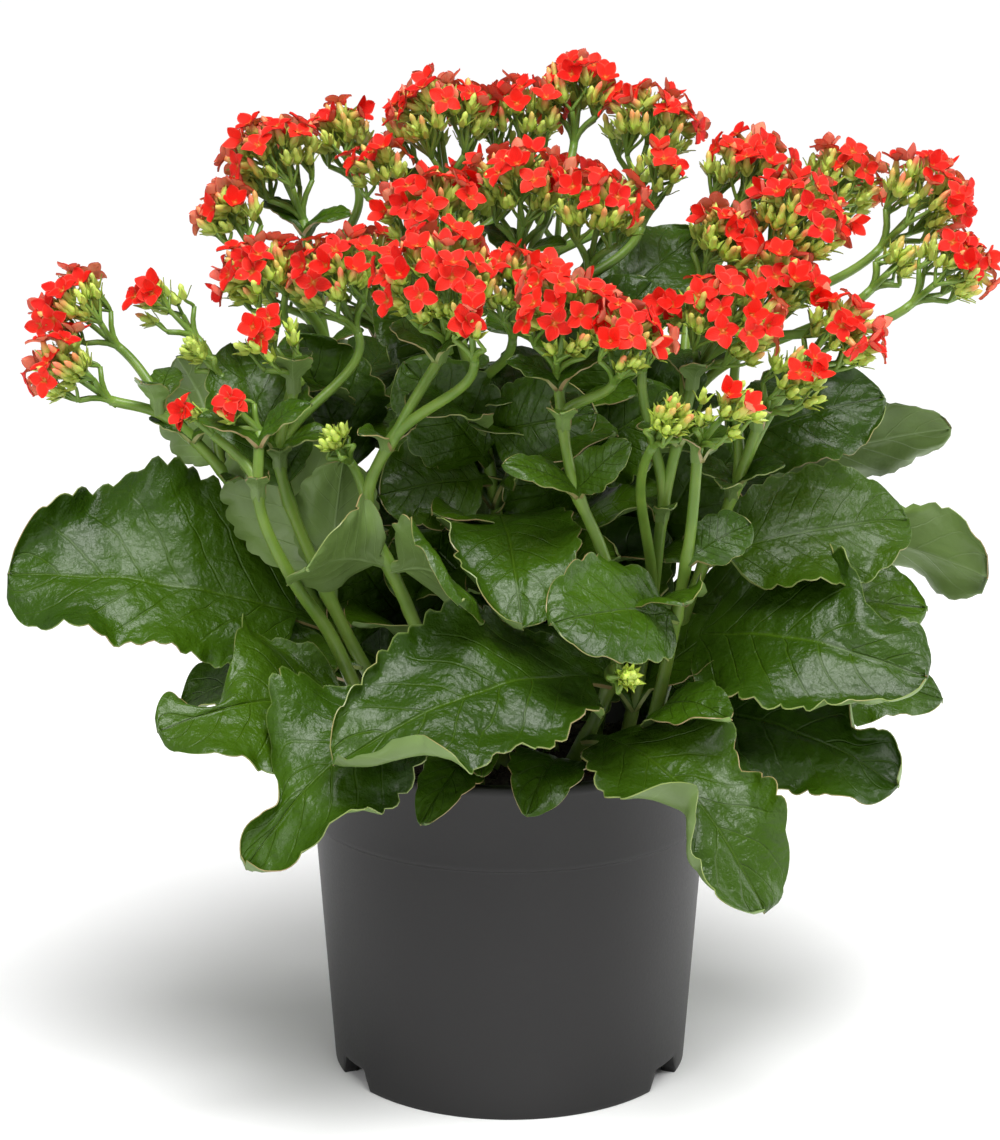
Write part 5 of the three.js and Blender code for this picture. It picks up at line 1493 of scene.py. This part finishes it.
class KALANCHOE_OT_stage(bpy.types.Operator):
    """Set the plain floor, the soft studio lights and the camera"""
    bl_idname = "kalanchoe.stage"
    bl_label = "Stage"

    def execute(self, context):
        scene = context.scene
        self.floor(scene)
        for name, place, aim, size, power in SOFTBOXES:
            light = bpy.data.lights.new(name, "AREA")
            light.shape = "SQUARE"
            light.size = size
            light.energy = power
            self.lamp(scene, light, place, aim)
        sun = bpy.data.lights.new("Soft daylight", "SUN")
        sun.energy = SUN_POWER
        sun.angle = math.radians(SUN_ANGLE)
        self.lamp(scene, sun, SUN_PLACE, (0, 0, 0))
        scene.world = bpy.data.worlds.new("Studio white")
        scene.world.use_nodes = True
        background = scene.world.node_tree.nodes["Background"]
        background.inputs["Color"].default_value = (1, 1, 1, 1)
        background.inputs["Strength"].default_value = WORLD_POWER
        scene.view_settings.view_transform = "Standard"
        self.camera(scene)
        return {"FINISHED"}

    def floor(self, scene):
        mesh = bpy.data.meshes.new("Floor")
        far = FLOOR_REACH
        mesh.from_pydata([(-far, -far, 0), (far, -far, 0), (far, far, 0), (-far, far, 0)], [], [(0, 1, 2, 3)])
        floor = bpy.data.objects.new("Floor", mesh)
        scene.collection.objects.link(floor)
        mesh.materials.append(Shader("Pale floor").surface({
            "Base Color": FLOOR_COLOUR,
            "Roughness": 1.0,
            "Specular IOR Level": 0.0,
        }))

    def lamp(self, scene, light, place, aim):
        lamp = bpy.data.objects.new(light.name, light)
        lamp.location = place
        lamp.rotation_euler = (Vector(aim) - Vector(place)).to_track_quat("-Z", "Y").to_euler()
        scene.collection.objects.link(lamp)

    def camera(self, scene):
        camera = bpy.data.objects.new("Camera", bpy.data.cameras.new("Camera"))
        camera.location = CAMERA_PLACE
        camera.rotation_euler = (math.radians(90 - CAMERA_DIP), 0, 0)
        camera.data.sensor_fit = "VERTICAL"
        camera.data.sensor_height = SENSOR_HEIGHT
        camera.data.lens = LENS
        scene.collection.objects.link(camera)
        scene.camera = camera


class KALANCHOE_PT_panel(bpy.types.Panel):
    """The plant's sizes and colours, and a button for each group of pieces"""
    bl_idname = "KALANCHOE_PT_panel"
    bl_label = "Potted Kalanchoe"
    bl_space_type = "VIEW_3D"
    bl_region_type = "UI"
    bl_category = "Kalanchoe"

    def draw(self, context):
        for group in (context.scene.kalanchoe_sizes, context.scene.kalanchoe_colours):
            box = self.layout.box()
            for name in group.__annotations__:
                box.prop(group, name)
        for operator in OPERATORS:
            self.layout.operator(operator.bl_idname)


OPERATORS = (
    KALANCHOE_OT_stage, KALANCHOE_OT_pot, KALANCHOE_OT_compost, KALANCHOE_OT_stems, KALANCHOE_OT_leaves,
    KALANCHOE_OT_flowers,
)
CLASSES = (KalanchoeSizes, KalanchoeColours, *OPERATORS, KALANCHOE_PT_panel)


def register():
    for item in CLASSES:
        bpy.utils.register_class(item)
    bpy.types.Scene.kalanchoe_sizes = PointerProperty(type=KalanchoeSizes)
    bpy.types.Scene.kalanchoe_colours = PointerProperty(type=KalanchoeColours)


def unregister():
    del bpy.types.Scene.kalanchoe_colours
    del bpy.types.Scene.kalanchoe_sizes
    for item in reversed(CLASSES):
        bpy.utils.unregister_class(item)


def main():
    register()
    bpy.ops.kalanchoe.stage()
    bpy.ops.kalanchoe.pot()
    bpy.ops.kalanchoe.compost()
    bpy.ops.kalanchoe.stems()
    bpy.ops.kalanchoe.leaves()
    bpy.ops.kalanchoe.flowers()
    bpy.context.view_layer.update()


if __name__ == "__main__":
    main()
